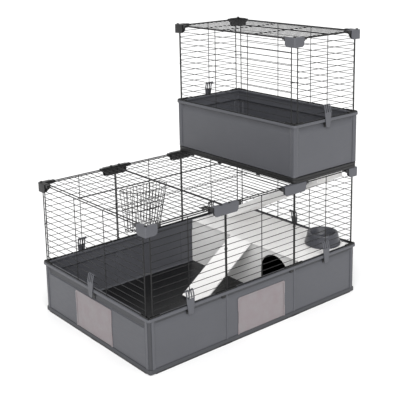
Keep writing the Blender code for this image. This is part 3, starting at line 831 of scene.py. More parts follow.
@dataclass(frozen=True)
class BaseStrip:
    """The dark belt round the lower tray's foot and the black strip that the cage stands on."""

    storey: Storey
    proud: float = 0.0034
    foot: float = -0.0018
    height: float = 0.0148
    corner: float = 0.0076
    strip_inset: float = 0.0028
    strip_start: float = 0.0280
    foot_length: float = 0.046

    def build(self, shop: Workshop) -> None:
        """Makes the belt and the black strip with its joint feet."""
        shop.place("lower_base_belt", self.belt(), Slot.CHARCOAL, sharp=40)
        shop.place("base_strip", self.strip(), Slot.BLACK, bevel=0.0006)

    def belt(self) -> Shape:
        """Makes the belt as one loop with round corners, a little lower than the walls' own foot."""
        storey, proud = self.storey, self.proud
        low, high = storey.bottom + self.foot, storey.bottom + self.height
        section = [
            (0.0012, low), (0.0, low + 0.0012), (0.0, high - 0.0022), (0.0008, high - 0.0006), (0.0026, high),
            (0.0060, high), (0.0060, low),
        ]
        rings = []
        corners = ((storey.right, storey.back), (storey.left, storey.back), (storey.left, storey.front),
                   (storey.right, storey.front))
        for quarter, (x, y) in enumerate(corners):
            sx, sy = (1 if x == storey.right else -1), (1 if y == storey.back else -1)
            pivot = Vector((x - sx * (proud + self.corner), y - sy * (proud + self.corner), 0.0))
            for step in range(7):
                turn = math.pi / 2 * (quarter + step / 6)
                out = Vector((math.cos(turn), math.sin(turn), 0.0))
                rings.append([pivot + out * (self.corner - d) + Vector((0.0, 0.0, z)) for d, z in section])
        shape = Shape()
        shape.loft(rings, closed=True)
        return shape

    def strip(self) -> Shape:
        """Makes the four low bars under the belt and the wider feet at the joints of the modules."""
        shape = Shape()
        for face in Face:
            length = self.storey.length(face)
            shape.block(
                self.storey.spot(face, self.strip_start, self.strip_inset, 0.0),
                self.storey.spot(face, length - self.strip_start, self.strip_inset + 0.0050, 0.0044),
            )
            count = 3 if face in LONG_FACES else 2
            for step in range(1, count):
                centre = length * step / count
                shape.block(
                    self.storey.spot(face, centre - self.foot_length / 2, self.strip_inset - 0.0008, 0.0),
                    self.storey.spot(face, centre + self.foot_length / 2, self.strip_inset + 0.0050, 0.0052),
                )
        return shape


@dataclass(frozen=True)
class RimSeats:
    """Black channels on the rim that hold the feet of the grilles at every joint and corner."""

    storey: Storey
    name: str
    joints: dict[Face, tuple[float, ...]]
    corner_reach: float = 0.058
    joint_reach: float = 0.050
    back_reach: float = 0.160
    depth_outer: float = 0.0038
    depth_inner: float = 0.0122
    lip: float = 0.0022
    height: float = 0.0068

    def build(self, shop: Workshop) -> None:
        """Makes the channels and the tabs that reach through the cove under the rim."""
        seats = Shape()
        tabs = Shape()
        for face, marks in self.joints.items():
            length = self.storey.length(face)
            spans = [
                (self.depth_outer, self.corner_reach),
                (length - self.corner_reach, length - self.depth_outer),
            ]
            reach = self.back_reach if face is Face.BACK else self.joint_reach
            spans += [(mark - reach, mark + reach) for mark in marks]
            for start, end in spans:
                self.channel(seats, face, start, end)
            for mark in marks:
                high = self.storey.rim - 0.0116
                tabs.block(
                    self.storey.spot(face, mark - 0.022, 0.0058, high - 0.0125),
                    self.storey.spot(face, mark - 0.0042, 0.0112, high),
                )
        shop.place(f"{self.name}_grille_seats", seats, Slot.BLACK, bevel=0.0006)
        if any(self.joints.values()):
            shop.place(f"{self.name}_seat_tabs", tabs, Slot.BLACK, bevel=0.0006)

    def channel(self, seats: Shape, face: Face, start: float, end: float) -> None:
        """Adds one channel of two lips and the notched teeth that grip the wire between them."""
        top = self.storey.rim + self.height
        foot = self.storey.rim - 0.0006
        inner = self.depth_inner - self.lip
        outer = self.depth_outer
        for depth, height in ((outer, top - 0.002), (inner, top)):
            seats.block(
                self.storey.spot(face, start, depth, foot),
                self.storey.spot(face, end, depth + self.lip, height),
            )
        teeth = max(2, int((end - start) / 0.018))
        for tooth in range(teeth):
            centre = start + (end - start) * (tooth + 0.5) / teeth
            seats.block(
                self.storey.spot(face, centre - 0.003, inner - 0.0012, top - 0.0022),
                self.storey.spot(face, centre + 0.003, inner + self.lip, top + 0.0006),
            )


@dataclass(frozen=True)
class Window:
    """A frosted window on a tray wall: a thin notched border round a slightly crowned pane."""

    storey: Storey
    node: str
    face: Face
    border: float = 0.0065
    corner: float = 0.0075
    crown: float = 0.0016

    def build(self, shop: Workshop) -> None:
        """Makes the border and the pane."""
        low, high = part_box(self.node)
        size = high - low
        width = size.x if self.face is Face.FRONT else size.y
        centre = (low + high) / 2
        along = centre.x - self.storey.left if self.face is Face.FRONT else centre.y - self.storey.front
        outer = abs(low.y - self.storey.front) if self.face is Face.FRONT else abs(low.x - self.storey.left)
        place = self.storey.plane(self.face, along, outer, centre.z)
        ring = Shape()
        outside = self.outline(width, size.z, self.corner, 0.0014)
        inside = self.outline(width - 2 * self.border, size.z - 2 * self.border, self.corner - 0.002, 0.0)
        rings = []
        for outline, depth in ((outside, 0.0021), (outside, 0.0), (inside, 0.0), (inside, 0.0021)):
            rings.append([place @ Vector((x, y, depth)) for x, y in outline])
        ring.loft(rings, closed=True)
        shop.place(f"{self.node}_border", ring, Slot.WINDOW, bevel=0.0004)
        pane = Shape()
        steps = 12
        grid = []
        half_x, half_y = width / 2 - self.border + 0.001, size.z / 2 - self.border + 0.001
        for i in range(steps + 1):
            row = []
            for j in range(steps + 1):
                u, v = 2 * i / steps - 1, 2 * j / steps - 1
                bulge = self.crown * (1 - u * u) * (1 - v * v)
                row.append(pane.mesh.verts.new(place @ Vector((u * half_x, v * half_y, 0.0019 - bulge))))
            grid.append(row)
        for i in range(steps):
            for j in range(steps):
                pane.mesh.faces.new((grid[i][j], grid[i + 1][j], grid[i + 1][j + 1], grid[i][j + 1]))
        shop.place(f"{self.node}_pane", pane, Slot.WINDOW, replaces=(self.node,))

    def outline(self, width: float, height: float, radius: float, notch: float) -> list[tuple[float, float]]:
        """Returns a rounded rectangle whose upright edges step in by the notch over their middle."""
        points = []
        steps = 5
        for quarter, (sx, sy) in enumerate(((1, 1), (-1, 1), (-1, -1), (1, -1))):
            centre = (sx * (width / 2 - radius), sy * (height / 2 - radius))
            for step in range(steps + 1):
                angle = math.pi / 2 * (quarter + step / steps)
                points.append((centre[0] + radius * math.cos(angle), centre[1] + radius * math.sin(angle)))
            if quarter in (0, 2):
                continue
            outer, inner = (sx * (width / 2), height * 0.17), (sx * (width / 2 - notch), height * 0.15)
            points += [(x, sy * y) for x, y in (outer, inner)]
            points += [(x, -sy * y) for x, y in (inner, outer)]
        return points


# ---------------------------------------------------------------------------------------------------
# Grilles
# ---------------------------------------------------------------------------------------------------


@dataclass(frozen=True)
class Grille:
    """One welded wire panel: a bent border wire, long wires and a few stiffeners across them."""

    node: str
    upright: bool
    wire: float = 0.0013
    border: float = 0.0022
    long_wires: int = 14
    bend: float = 0.0055
    frame_wire: float = 0.0017
    stiffener: float | None = None

    def build(self, shop: Workshop, body: str) -> None:
        """Makes the panel in the plane of the node that it replaces."""
        low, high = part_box(self.node)
        centre, size = (low + high) / 2, high - low
        flat = min(range(3), key=lambda axis: size[axis])
        rise = 2 if self.upright else 0
        run = ({0, 1, 2} - {flat, rise}).pop()
        axes = [Vector([1.0 if i == axis else 0.0 for i in range(3)]) for axis in (run, rise, flat)]
        half_run = size[run] / 2 - self.frame_wire
        half_rise = size[rise] / 2 - self.frame_wire

        def at(u: float, v: float, w: float = 0.0) -> Vector:
            """Returns a point of the panel from its run, rise and depth."""
            return centre + axes[0] * u + axes[1] * v + axes[2] * w

        # The stiffeners lie outside the upright panels and under the roofs
        negative = centre[flat] < 0.0 or not self.upright or self.node == "upper_grille_left"
        out = -1.0 if negative else 1.0
        shape = Shape()
        shape.wire([at(u, v) for u, v in self.loop(half_run, half_rise)], self.border, closed=True)
        pitch = 2 * half_rise / (self.long_wires - 1)
        for step in range(1, self.long_wires - 1):
            height = -half_rise + pitch * step
            shape.wire([at(-half_run, height), at(half_run, height)], self.wire)
        offset = out * (self.wire + self.border) * 0.86
        for u in self.stiffeners(centre[run]):
            shape.wire([at(u, -half_rise, offset), at(u, half_rise, offset)], self.wire * 1.15)
        shop.place(f"{self.node}_wires", shape, Slot.WIRE, body, replaces=(self.node,), sharp=60)

    def loop(self, half_run: float, half_rise: float) -> list[tuple[float, float]]:
        """Returns the border wire's loop with bent corners."""
        points = []
        steps = 4
        for quarter, (sx, sy) in enumerate(((1, 1), (-1, 1), (-1, -1), (1, -1))):
            pivot = (sx * (half_run - self.bend), sy * (half_rise - self.bend))
            for step in range(steps + 1):
                angle = math.pi / 2 * (quarter + step / steps)
                x, y = self.bend * math.cos(angle), self.bend * math.sin(angle)
                points.append((pivot[0] + x, pivot[1] + y))
        return points

    def stiffeners(self, middle: float) -> tuple[float, ...]:
        """Returns where the stiffeners cross: one set place on a short panel, two places on a long one."""
        return (-0.0975, 0.0975) if self.stiffener is None else (self.stiffener - middle,)


# ---------------------------------------------------------------------------------------------------
# Connectors, clips and latches
# ---------------------------------------------------------------------------------------------------


@dataclass(frozen=True)
class Connector:
    """A grey joining piece on the top wires: rounded plates outside, black grips inside."""

    storey: Storey
    node: str
    top: float
    height: float
    plate: float = 0.0042
    cap: float = 0.0195
    tip_radius: float = 0.0120
    fold: float = 0.0060
    peg_height: float = 0.0042
    pegs: bool = True

    def rounded_foot(self, distance: float) -> float:
        """Returns the height of the plate's lower edge at a distance from its tip."""
        radius = self.tip_radius
        reach = min(max(distance, 0.0), radius)
        drop = math.sqrt(radius ** 2 - (radius - reach) ** 2)
        return self.top - self.height + (radius - drop) * 1.25

    def section(self, foot: float, inner: bool) -> list[tuple[float, float]]:
        """Returns the section of the outer plate with its cap, or of the inner grip."""
        if inner:
            return [(0.0118, foot), (0.0118, self.top - 0.0048), (0.0152, self.top - 0.0048), (0.0152, foot)]
        soft = 0.0014
        return [
            (0.0, foot), (0.0, self.top - soft), (soft * 0.3, self.top - soft * 0.3), (soft, self.top),
            (self.cap, self.top), (self.cap, self.top - self.plate), (self.plate, self.top - self.plate),
            (self.plate, foot),
        ]

    def marks(self, length: float) -> list[float]:
        """Returns distances from a tip, close together where the lower corner is round."""
        ends = [self.tip_radius * (1.0 - math.cos(math.pi / 2 * step / 6)) for step in range(7)]
        return [mark for mark in ends if mark < length]

    def corner(self, side: Face, end: Face, inner: bool) -> Shape:
        """Makes the two arms of a corner piece as one folded plate."""
        low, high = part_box(self.node)
        arm_x, arm_y = high.x - low.x, high.y - low.y
        turn_x, turn_y = self.storey.inward(side), self.storey.inward(end)
        x = self.storey.left if side is Face.LEFT else self.storey.right
        y = self.storey.front if end is Face.FRONT else self.storey.back
        corner = Vector((x, y, 0.0))
        fold = self.fold
        full = self.top - self.height
        inset = 0.004 if inner else 0.0
        rings = []
        for mark in self.marks(arm_x):
            foot = self.rounded_foot(mark)
            rings.append(self.ring(corner + turn_x * (arm_x - inset - mark), turn_y, foot, inner))
        if inner:
            diagonal = turn_x + turn_y
            rings.append(self.ring(corner, diagonal, full, inner))
        else:
            pivot = corner + (turn_x + turn_y) * fold
            for step in range(6):
                angle = math.pi / 2 * step / 5
                inward = turn_x * math.sin(angle) + turn_y * math.cos(angle)
                rings.append(self.folded(corner, pivot, inward, turn_x + turn_y, full))
        for mark in reversed(self.marks(arm_y)):
            foot = self.rounded_foot(mark)
            rings.append(self.ring(corner + turn_y * (arm_y - inset - mark), turn_x, foot, inner))
        shape = Shape()
        shape.loft(rings)
        return shape

    def ring(self, point: Vector, inward: Vector, foot: float, inner: bool) -> list[Vector]:
        """Returns the section at one place."""
        up = Vector((0.0, 0.0, 1.0))
        return [point + inward * d + up * z for d, z in self.section(foot, inner)]

    def folded(
        self, corner: Vector, pivot: Vector, inward: Vector, diagonal: Vector, foot: float
    ) -> list[Vector]:
        """Returns the section part of the way round the fold, where the cap's inner edge stays mitred.

        Args:
            corner: the ground point of the cage's corner.
            pivot: the centre of the fold.
            inward: the direction into the cage at this step of the fold.
            diagonal: the sum of both faces' directions into the cage.
            foot: the height of the plate's lower edge.

        Returns:
            The points of the section in order.
        """
        up = Vector((0.0, 0.0, 1.0))
        points = []
        for depth, height in self.section(foot, False):
            flat = pivot - inward * (self.fold - depth) if depth < self.fold else corner + diagonal * depth
            points.append(flat + up * height)
        return points

    def tee(self, face: Face, inner: bool) -> Shape:
        """Makes the plate of a piece that joins two neighbouring grilles."""
        low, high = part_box(self.node)
        start, end = low.x - self.storey.left, high.x - self.storey.left
        length = end - start
        inset = 0.004 if inner else 0.0
        rings = []
        places = list(self.marks(length / 2))
        for distance in places + [length - mark for mark in reversed(places)]:
            foot = self.rounded_foot(min(distance, length - distance))
            squeezed = inset + distance * (length - 2 * inset) / length
            point = self.storey.spot(face, start + squeezed, 0.0, 0.0)
            rings.append(self.ring(point, self.storey.inward(face), foot, inner))
        shape = Shape()
        shape.loft(rings)
        return shape

    def sleeve(self, shape: Shape, face: Face, along: float, sign: float) -> None:
        """Adds the black sleeve that runs on along the top wires past the end of a plate."""
        length = 0.017
        top = self.top - 0.0012
        shape.block(
            self.storey.spot(face, along, 0.0030, top - 0.0105),
            self.storey.spot(face, along + sign * length, 0.0185, top),
        )
        shape.block(
            self.storey.spot(face, along, 0.0045, top - 0.0150),
            self.storey.spot(face, along + sign * length * 0.55, 0.0125, top - 0.0100),
        )

    def ridges(self, shape: Shape, face: Face, start: float, end: float) -> None:
        """Adds the round ridges of the grip's snaps on its inner side."""
        count = max(2, round((end - start) / 0.020))
        for step in range(count):
            along = start + (end - start) * (step + 0.5) / count
            drops = (0.031, 0.028, 0.012, 0.009)
            path = [self.storey.spot(face, along, 0.0158, self.top - drop) for drop in drops]
            shape.wire(path, 0.0030)

    def peg(self, shape: Shape, face: Face, along: float, depth: float, radius: float) -> None:
        """Adds a round peg on top of the piece."""
        height = self.peg_height
        profile = [
            (0.0001, -0.001), (radius, -0.001), (radius, height * 0.7), (radius * 0.8, height * 0.95),
            (0.0001, height),
        ]
        shape.turned(profile, self.storey.spot(face, along, depth, self.top), 20)

    def build_corner(self, shop: Workshop, side: Face, end: Face) -> None:
        """Makes a corner piece with its grips, sleeves and peg."""
        low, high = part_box(self.node)
        arm_x, arm_y = high.x - low.x, high.y - low.y
        plate = self.corner(side, end, False)
        slot = Slot.GREY if end is Face.FRONT else Slot.BLACK
        shop.place(f"{self.node}_plate", plate, slot, replaces=(self.node,), bevel=0.0007)
        black = self.corner(side, end, True)
        length, width = self.storey.length(end), self.storey.length(side)
        left, front = side is Face.LEFT, end is Face.FRONT
        tip_x = arm_x if left else length - arm_x
        tip_y = arm_y if front else width - arm_y
        self.sleeve(black, end, tip_x, 1.0 if left else -1.0)
        self.sleeve(black, side, tip_y, 1.0 if front else -1.0)
        for face, tip, low_end in ((end, tip_x, left), (side, tip_y, front)):
            inner = 0.018 if low_end else self.storey.length(face) - 0.018
            self.ridges(black, face, *sorted((tip, inner)))
        if self.pegs:
            self.peg(black, end, 0.0105 if left else length - 0.0105, 0.0105, 0.0052)
        shop.place(f"{self.node}_grip", black, Slot.BLACK, bevel=0.0005)

    def build_tee(self, shop: Workshop, face: Face) -> None:
        """Makes a straight piece with its grips, sleeves and the snap hooks on top."""
        low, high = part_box(self.node)
        start, end = low.x - self.storey.left, high.x - self.storey.left
        slot = Slot.GREY if face is Face.FRONT else Slot.BLACK
        shop.place(f"{self.node}_plate", self.tee(face, False), slot, replaces=(self.node,), bevel=0.0007)
        black = self.tee(face, True)
        self.sleeve(black, face, start, -1.0)
        self.sleeve(black, face, end, 1.0)
        self.ridges(black, face, start, end)
        if self.pegs:
            for share in (0.33, 0.67):
                along = start + (end - start) * share
                black.block(
                    self.storey.spot(face, along - 0.004, 0.0050, self.top - 0.001),
                    self.storey.spot(face, along + 0.004, 0.0130, self.top + 0.0024),
                )
                self.peg(black, face, along, 0.0090, 0.0040)
        shop.place(f"{self.node}_grip", black, Slot.BLACK, bevel=0.0005)


@dataclass(frozen=True)
class EdgeClips:
    """Black clips half way up the corners and joints that tie two upright border wires together."""

    storey: Storey
    name: str
    joints: dict[Face, tuple[float, ...]]
    height: float = 0.163
    wire_depth: float = 0.0080
    wire_inset: float = 0.0249
    sleeve_radius: float = 0.0032
    sleeve_height: float = 0.0060

    def build(self, shop: Workshop) -> None:
        """Makes the clips."""
        clips = Shape()
        level = self.storey.rim + self.height
        for end in LONG_FACES:
            for side in SHORT_FACES:
                on_end = self.wire_inset if side is Face.LEFT else self.storey.length(end) - self.wire_inset
                on_side = self.wire_inset if end is Face.FRONT else self.storey.length(side) - self.wire_inset
                self.tie(
                    clips, self.storey.spot(end, on_end, self.wire_depth, level),
                    self.storey.spot(side, on_side, self.wire_depth, level),
                )
        for face, marks in self.joints.items():
            for mark in marks:
                gap = 0.0032
                self.tie(
                    clips, self.storey.spot(face, mark - gap, self.wire_depth, level),
                    self.storey.spot(face, mark + gap, self.wire_depth, level),
                )
        shop.place(f"{self.name}_edge_clips", clips, Slot.BLACK, sharp=50)

    def tie(self, clips: Shape, first: Vector, second: Vector) -> None:
        """Adds two sleeves round a pair of wires and the bar between them."""
        up = Vector((0.0, 0.0, self.sleeve_height / 2))
        for wire in (first, second):
            clips.wire([wire - up, wire + up], self.sleeve_radius, sides=12)
        clips.wire([first, second], 0.0019, sides=8)


@dataclass(frozen=True)
class Latch:
    """A grey hook that hangs on a grille's third wire by four curled tines and catches the rim."""

    storey: Storey
    node: str
    face: Face
    along: float
    wire_depth: float = 0.0080
    thickness: float = 0.0024
    half_width: float = 0.0180
    tine_width: float = 0.0050
    loop_radius: float = 0.0042
    stand_out: float = 0.0036

    def build(self, shop: Workshop) -> None:
        """Makes the tongue, the shoulders and the tines as one moulding, and a black block of painted shadow
        under the tongue.
        """
        rim = self.storey.rim
        wire_height = rim + 0.0520
        shape = Shape()
        face_out = -self.stand_out
        tip = rim - 0.0330
        tongue = [
            (tip, 0.0072, 0.0012), (tip + 0.0012, 0.0095, 0.0004), (tip + 0.0040, 0.0112, 0.0),
            (tip + 0.0120, 0.0122, 0.0), (rim - 0.0060, 0.0145, -0.0004), (rim + 0.0060, 0.0162, 0.0),
            (rim + 0.0160, 0.0176, 0.0004), (rim + 0.0215, self.half_width, 0.0010),
            (rim + 0.0260, self.half_width, 0.0016),
        ]
        rings = [self.strip(height, -half, half, face_out + lean) for height, half, lean in tongue]
        shape.loft(rings)
        for side in (-1.0, 1.0):
            for step in (0, 1):
                centre = side * (self.half_width - self.tine_width * (0.5 + step * 1.95))
                self.tine(shape, centre, rim + 0.0245, face_out + 0.0014, wire_height)
        shape.block(
            self.storey.spot(self.face, self.along - 0.0085, face_out + 0.0010, rim - 0.0165),
            self.storey.spot(self.face, self.along + 0.0085, 0.0044, rim - 0.0125),
        )
        shop.place(f"{self.node}_hook", shape, Slot.GREY, self.node, replaces=(self.node,), bevel=0.0006)
        # A black block behind the tongue, in the cove under the rim: painted shadow under the latch
        shadow_block = Shape()
        shadow_block.block(
            self.storey.spot(self.face, self.along - 0.0125, 0.0085, rim - 0.0400),
            self.storey.spot(self.face, self.along + 0.0125, 0.0150, rim - 0.0118),
        )
        shop.place(f"{self.node}_pocket", shadow_block, Slot.BLACK, bevel=0.0008)

    def strip(self, height: float, start: float, end: float, depth: float) -> list[Vector]:
        """Returns a flat rectangular section of the tongue at one height."""
        spots = ((start, depth), (end, depth), (end, depth + self.thickness), (start, depth + self.thickness))
        return [self.storey.spot(self.face, self.along + u, d, height) for u, d in spots]

    def tine(self, shape: Shape, centre: float, foot: float, depth: float, wire_height: float) -> None:
        """Adds one tine that rises from the tongue and curls over the wire."""
        half = self.tine_width / 2
        path = [(depth, foot), (depth + 0.0012, foot + 0.010)]
        for step in range(9):
            angle = math.pi * (1.0 - step / 8 * 1.22)
            path.append((
                self.wire_depth + self.loop_radius * math.cos(angle),
                wire_height + 0.0004 + self.loop_radius * math.sin(angle),
            ))
        rings = []
        for i, (d, z) in enumerate(path):
            before, after = path[max(i - 1, 0)], path[min(i + 1, len(path) - 1)]
            ahead = Vector((after[0] - before[0], after[1] - before[1])).normalized()
            normal = Vector((-ahead.y, ahead.x)) * (self.thickness * 0.55)
            ring = []
            for u, sign in ((-half, -1), (half, -1), (half, 1), (-half, 1)):
                depth, height = d + sign * normal.x, z + sign * normal.y
                ring.append(self.storey.spot(self.face, self.along + centre + u, depth, height))
            rings.append(ring)
        shape.loft(rings)


# ---------------------------------------------------------------------------------------------------
# Inside: den, ramps, hay rack and bowl
# ---------------------------------------------------------------------------------------------------


@dataclass(frozen=True)
class HayRack:
    """A bowed wire basket that hangs on the back grille."""

    node: str = "hay_rack"
    wire: float = 0.0013
    hoop: float = 0.0018
    uprights: int = 13

    def build(self, shop: Workshop) -> None:
        """Makes the hoops and the uprights."""
        low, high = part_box(self.node)
        shape = Shape()
        for share in (0.0, 0.5, 1.0):
            height = low.z + 0.014 + (high.z - low.z - 0.0165) * share
            path = [self.spot(low, high, u, height) for u in self.steps(28)]
            ends = [Vector((point.x, high.y - self.hoop, height)) for point in (path[0], path[-1])]
            shape.wire([ends[0], *path, ends[1]], self.hoop)
            shape.wire(ends, self.hoop)
        for u in self.steps(self.uprights - 1):
            top = self.spot(low, high, u, high.z - self.wire)
            foot = self.spot(low, high, u, low.z + 0.016)
            back = Vector((foot.x, high.y - self.wire * 2, low.z + 0.016))
            path = [top, foot]
            reach = back.y - foot.y
            for step in range(1, 8):
                turn = math.pi * step / 8
                path.append(Vector((
                    foot.x, foot.y + reach * (1 - math.cos(turn)) / 2,
                    low.z + 0.016 - 0.0145 * math.sin(turn),
                )))
            path += [back, Vector((top.x, back.y, high.z - self.wire))]
            shape.wire(path, self.wire)
        shop.place("hay_rack_basket", shape, Slot.WIRE, self.node, replaces=(self.node,), sharp=60)

    def steps(self, count: int) -> list[float]:
        """Returns evenly spaced shares across the rack from -1 to 1."""
        return [2 * step / count - 1 for step in range(count + 1)]

    def spot(self, low: Vector, high: Vector, across: float, height: float) -> Vector:
        """Returns a point on the bowed front of the basket."""
        share = (height - low.z) / (high.z - low.z)
        half = (high.x - low.x) / 2 * (0.80 + 0.20 * share) - self.hoop
        depth = (high.y - low.y - self.hoop) * (0.46 + 0.54 * share)
        bow = (1.0 - abs(across) ** 3.5 * 0.45)
        return Vector(((low.x + high.x) / 2 + across * half, high.y - depth * bow, height))


@dataclass(frozen=True)
class Bowl:
    """A heavy turned feeding bowl with sloping sides and a thick rolled lip."""

    node: str = "bowl"
    foot_share: float = 0.80
    wall: float = 0.0095

    def build(self, shop: Workshop) -> None:
        """Makes the bowl."""
        low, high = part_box(self.node)
        centre = Vector(((low.x + high.x) / 2, (low.y + high.y) / 2, low.z))
        radius, height = (high.x - low.x) / 2, high.z - low.z
        foot = radius
        lip = radius * self.foot_share
        profile = [
            (foot - 0.0030, 0.0), (foot - 0.0006, 0.0014), (foot, 0.0045), (foot - 0.0012, 0.0090),
            (lip + 0.0070, height * 0.62), (lip + 0.0046, height - 0.0075), (lip + 0.0040, height - 0.0030),
            (lip + 0.0018, height - 0.0006), (lip - 0.0015, height), (lip - 0.0050, height - 0.0012),
            (lip - self.wall + 0.0008, height - 0.0055), (lip - self.wall - 0.0010, height * 0.55),
            (lip - self.wall - 0.0080, 0.0180), (lip - self.wall - 0.0200, 0.0135), (0.0004, 0.0125),
            (0.0004, 0.0040), (foot - 0.0200, 0.0040), (foot - 0.0090, 0.0030), (foot - 0.0070, 0.0),
        ]
        shape = Shape()
        shape.turned(profile, centre, 64)
        shop.place("feeding_bowl", shape, Slot.BOWL, self.node, replaces=(self.node,), sharp=50)


@dataclass(frozen=True)
class Den:
    """The white den: a wall with an arched doorway, a platform over it and the two ramps."""

    sheets: tuple[str, ...] = ("den_wall", "platform", "ramp_lower", "ramp_upper")

    def build(self, shop: Workshop) -> None:
        """Dresses the sheets in white."""
        for node in self.sheets:
            shop.dress(node, Slot.WHITE, 0.0010)


@dataclass(frozen=True)
class BaseFrame:
    """The black frame that carries the upper tray on the lower grilles."""

    storey: Storey
    node: str = "upper_base_frame"
    corner: float = 0.018
    tab_length: float = 0.020

    def build(self, shop: Workshop) -> None:
        """Makes the stepped frame and the tabs under its left side."""
        low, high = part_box(self.node)
        shape = Shape()
        section = [
            (0.0014, 0.0), (0.0002, 0.0012), (0.0002, 0.0098), (0.0016, 0.0112), (0.0016, 0.0122),
            (0.0, 0.0136), (0.0, 0.0218), (0.0012, 0.0230), (0.0318, 0.0230), (0.0318, 0.0190),
            (0.0060, 0.0190),
            (0.0050, 0.0180), (0.0050, 0.0),
        ]
        rings = []
        steps = 6
        corners = ((high.x, high.y), (low.x, high.y), (low.x, low.y), (high.x, low.y))
        for quarter, (x, y) in enumerate(corners):
            sx, sy = (1 if x == high.x else -1), (1 if y == high.y else -1)
            for step in range(steps + 1):
                angle = math.pi / 2 * (quarter + step / steps)
                out = Vector((math.cos(angle), math.sin(angle), 0.0))
                pivot = Vector((x - sx * self.corner, y - sy * self.corner, low.z))
                ring = []
                for depth, height in section:
                    if depth < self.corner:
                        flat = pivot + out * (self.corner - depth)
                    else:
                        flat = pivot - Vector((sx, sy, 0.0)) * (depth - self.corner)
                    ring.append(flat + Vector((0.0, 0.0, height)))
                rings.append(ring)
        shape.loft(rings, closed=True)
        for share in (0.27, 0.60, 0.85):
            y = low.y + (high.y - low.y) * share
            shape.block(
                Vector((low.x + 0.0010, y, low.z - 0.0065)),
                Vector((low.x + 0.0050, y + self.tab_length, low.z + 0.003)),
            )
        shop.place("upper_carrier_frame", shape, Slot.BLACK, replaces=(self.node,), bevel=0.0005)


@dataclass(frozen=True)
class RoofHook:
    """A black catch of round loops that ties a roof grille to the front grille beside a tee."""

    storey: Storey
    body: str
    along: float
    width: float = 0.030

    def build(self, shop: Workshop) -> None:
        """Makes the plate and its loops."""
        shape = Shape()
        level = self.storey.roof
        for step in range(3):
            along = self.along - self.width / 2 + self.width * step / 2
            path = []
            for turn in range(13):
                angle = math.tau * (turn / 12 * 0.86 - 0.30)
                path.append(self.storey.spot(
                    Face.FRONT, along, 0.0243 + 0.0050 * math.cos(angle), level + 0.0050 * math.sin(angle),
                ))
            shape.wire(path, 0.0016)
        shape.block(
            self.storey.spot(Face.FRONT, self.along - self.width / 2 - 0.002, 0.0272, level + 0.0024),
            self.storey.spot(Face.FRONT, self.along + self.width / 2 + 0.002, 0.0460, level + 0.0046),
        )
        shop.place("roof_catch", shape, Slot.BLACK, self.body, bevel=0.0005)


# ---------------------------------------------------------------------------------------------------
# Studio
# ---------------------------------------------------------------------------------------------------


@dataclass(frozen=True)
class Studio:
    """A pale floor, soft light from above and the camera."""

    camera_place: tuple[float, float, float] = (-2.0776, -2.5384, 1.5067)
    bearing: float = 50.66
    tilt: float = -12.71
    roll: float = -1.17
    lens: float = 76.38
    shift: float = -0.20

    def build(self) -> None:
        """Sets the camera, the lights, the sky and the floor."""
        self.add_camera()
        self.add_floor()
        self.add_lights()

    def add_camera(self) -> None:
        """Places the camera: its bearing runs from +X to +Y and its tilt is above the horizon."""
        bearing, tilt, roll = (math.radians(angle) for angle in (self.bearing, self.tilt, self.roll))
        ahead = Vector((
            math.cos(tilt) * math.cos(bearing), math.cos(tilt) * math.sin(bearing), math.sin(tilt),
        ))
        right = ahead.cross(Vector((0.0, 0.0, 1.0))).normalized()
        up = right.cross(ahead)
        side = right * math.cos(roll) + up * math.sin(roll)
        top = up * math.cos(roll) - right * math.sin(roll)
        data = bpy.data.cameras.new("camera")
        data.lens = self.lens
        data.sensor_width = 36.0
        data.shift_y = self.shift
        camera = bpy.data.objects.new("camera", data)
        camera.matrix_world = from_columns((side, top, -ahead, Vector(self.camera_place)))
        bpy.context.scene.collection.objects.link(camera)
        bpy.context.scene.camera = camera

    def add_floor(self) -> None:
        """Lays a wide matt white floor."""
        shape = Shape()
        reach = 40.0
        signs = ((-1, -1), (1, -1), (1, 1), (-1, 1))
        shape.mesh.faces.new([shape.mesh.verts.new((x * reach, y * reach, 0.0)) for x, y in signs])
        mesh = bpy.data.meshes.new("studio_floor")
        shape.mesh.to_mesh(mesh)
        material = bpy.data.materials.new("matt_white_studio_paper")
        material.use_nodes = True
        shader = material.node_tree.nodes["Principled BSDF"]
        shader.inputs["Base Color"].default_value = linear("#EAEAEA")
        shader.inputs["Roughness"].default_value = 0.9
        mesh.materials.append(material)
        floor = bpy.data.objects.new("studio_floor", mesh)
        bpy.context.scene.collection.objects.link(floor)

    def add_lights(self) -> None:
        """Adds an even white sky and two wide soft lights, with plain display colours."""
        scene = bpy.context.scene
        scene.view_settings.view_transform = "Standard"
        world = bpy.data.worlds.new("studio_sky")
        world.use_nodes = True
        sky = world.node_tree.nodes["Background"]
        sky.inputs["Color"].default_value = (1.0, 1.0, 1.0, 1.0)
        sky.inputs["Strength"].default_value = 0.80
        scene.world = world
        for name, source, power, spread in (
            ("overhead_silk", (-0.25, -0.35, 1.0), 1.10, 50.0),
            ("front_left_silk", (-0.75, -1.0, 0.8), 2.20, 60.0),
        ):
            data = bpy.data.lights.new(name, "SUN")
            data.energy = power
            data.angle = math.radians(spread)
            light = bpy.data.objects.new(name, data)
            light.rotation_mode = "QUATERNION"
            light.rotation_quaternion = (-Vector(source)).to_track_quat("-Z", "Y")
            scene.collection.objects.link(light)


# ---------------------------------------------------------------------------------------------------
# The cage
# ---------------------------------------------------------------------------------------------------


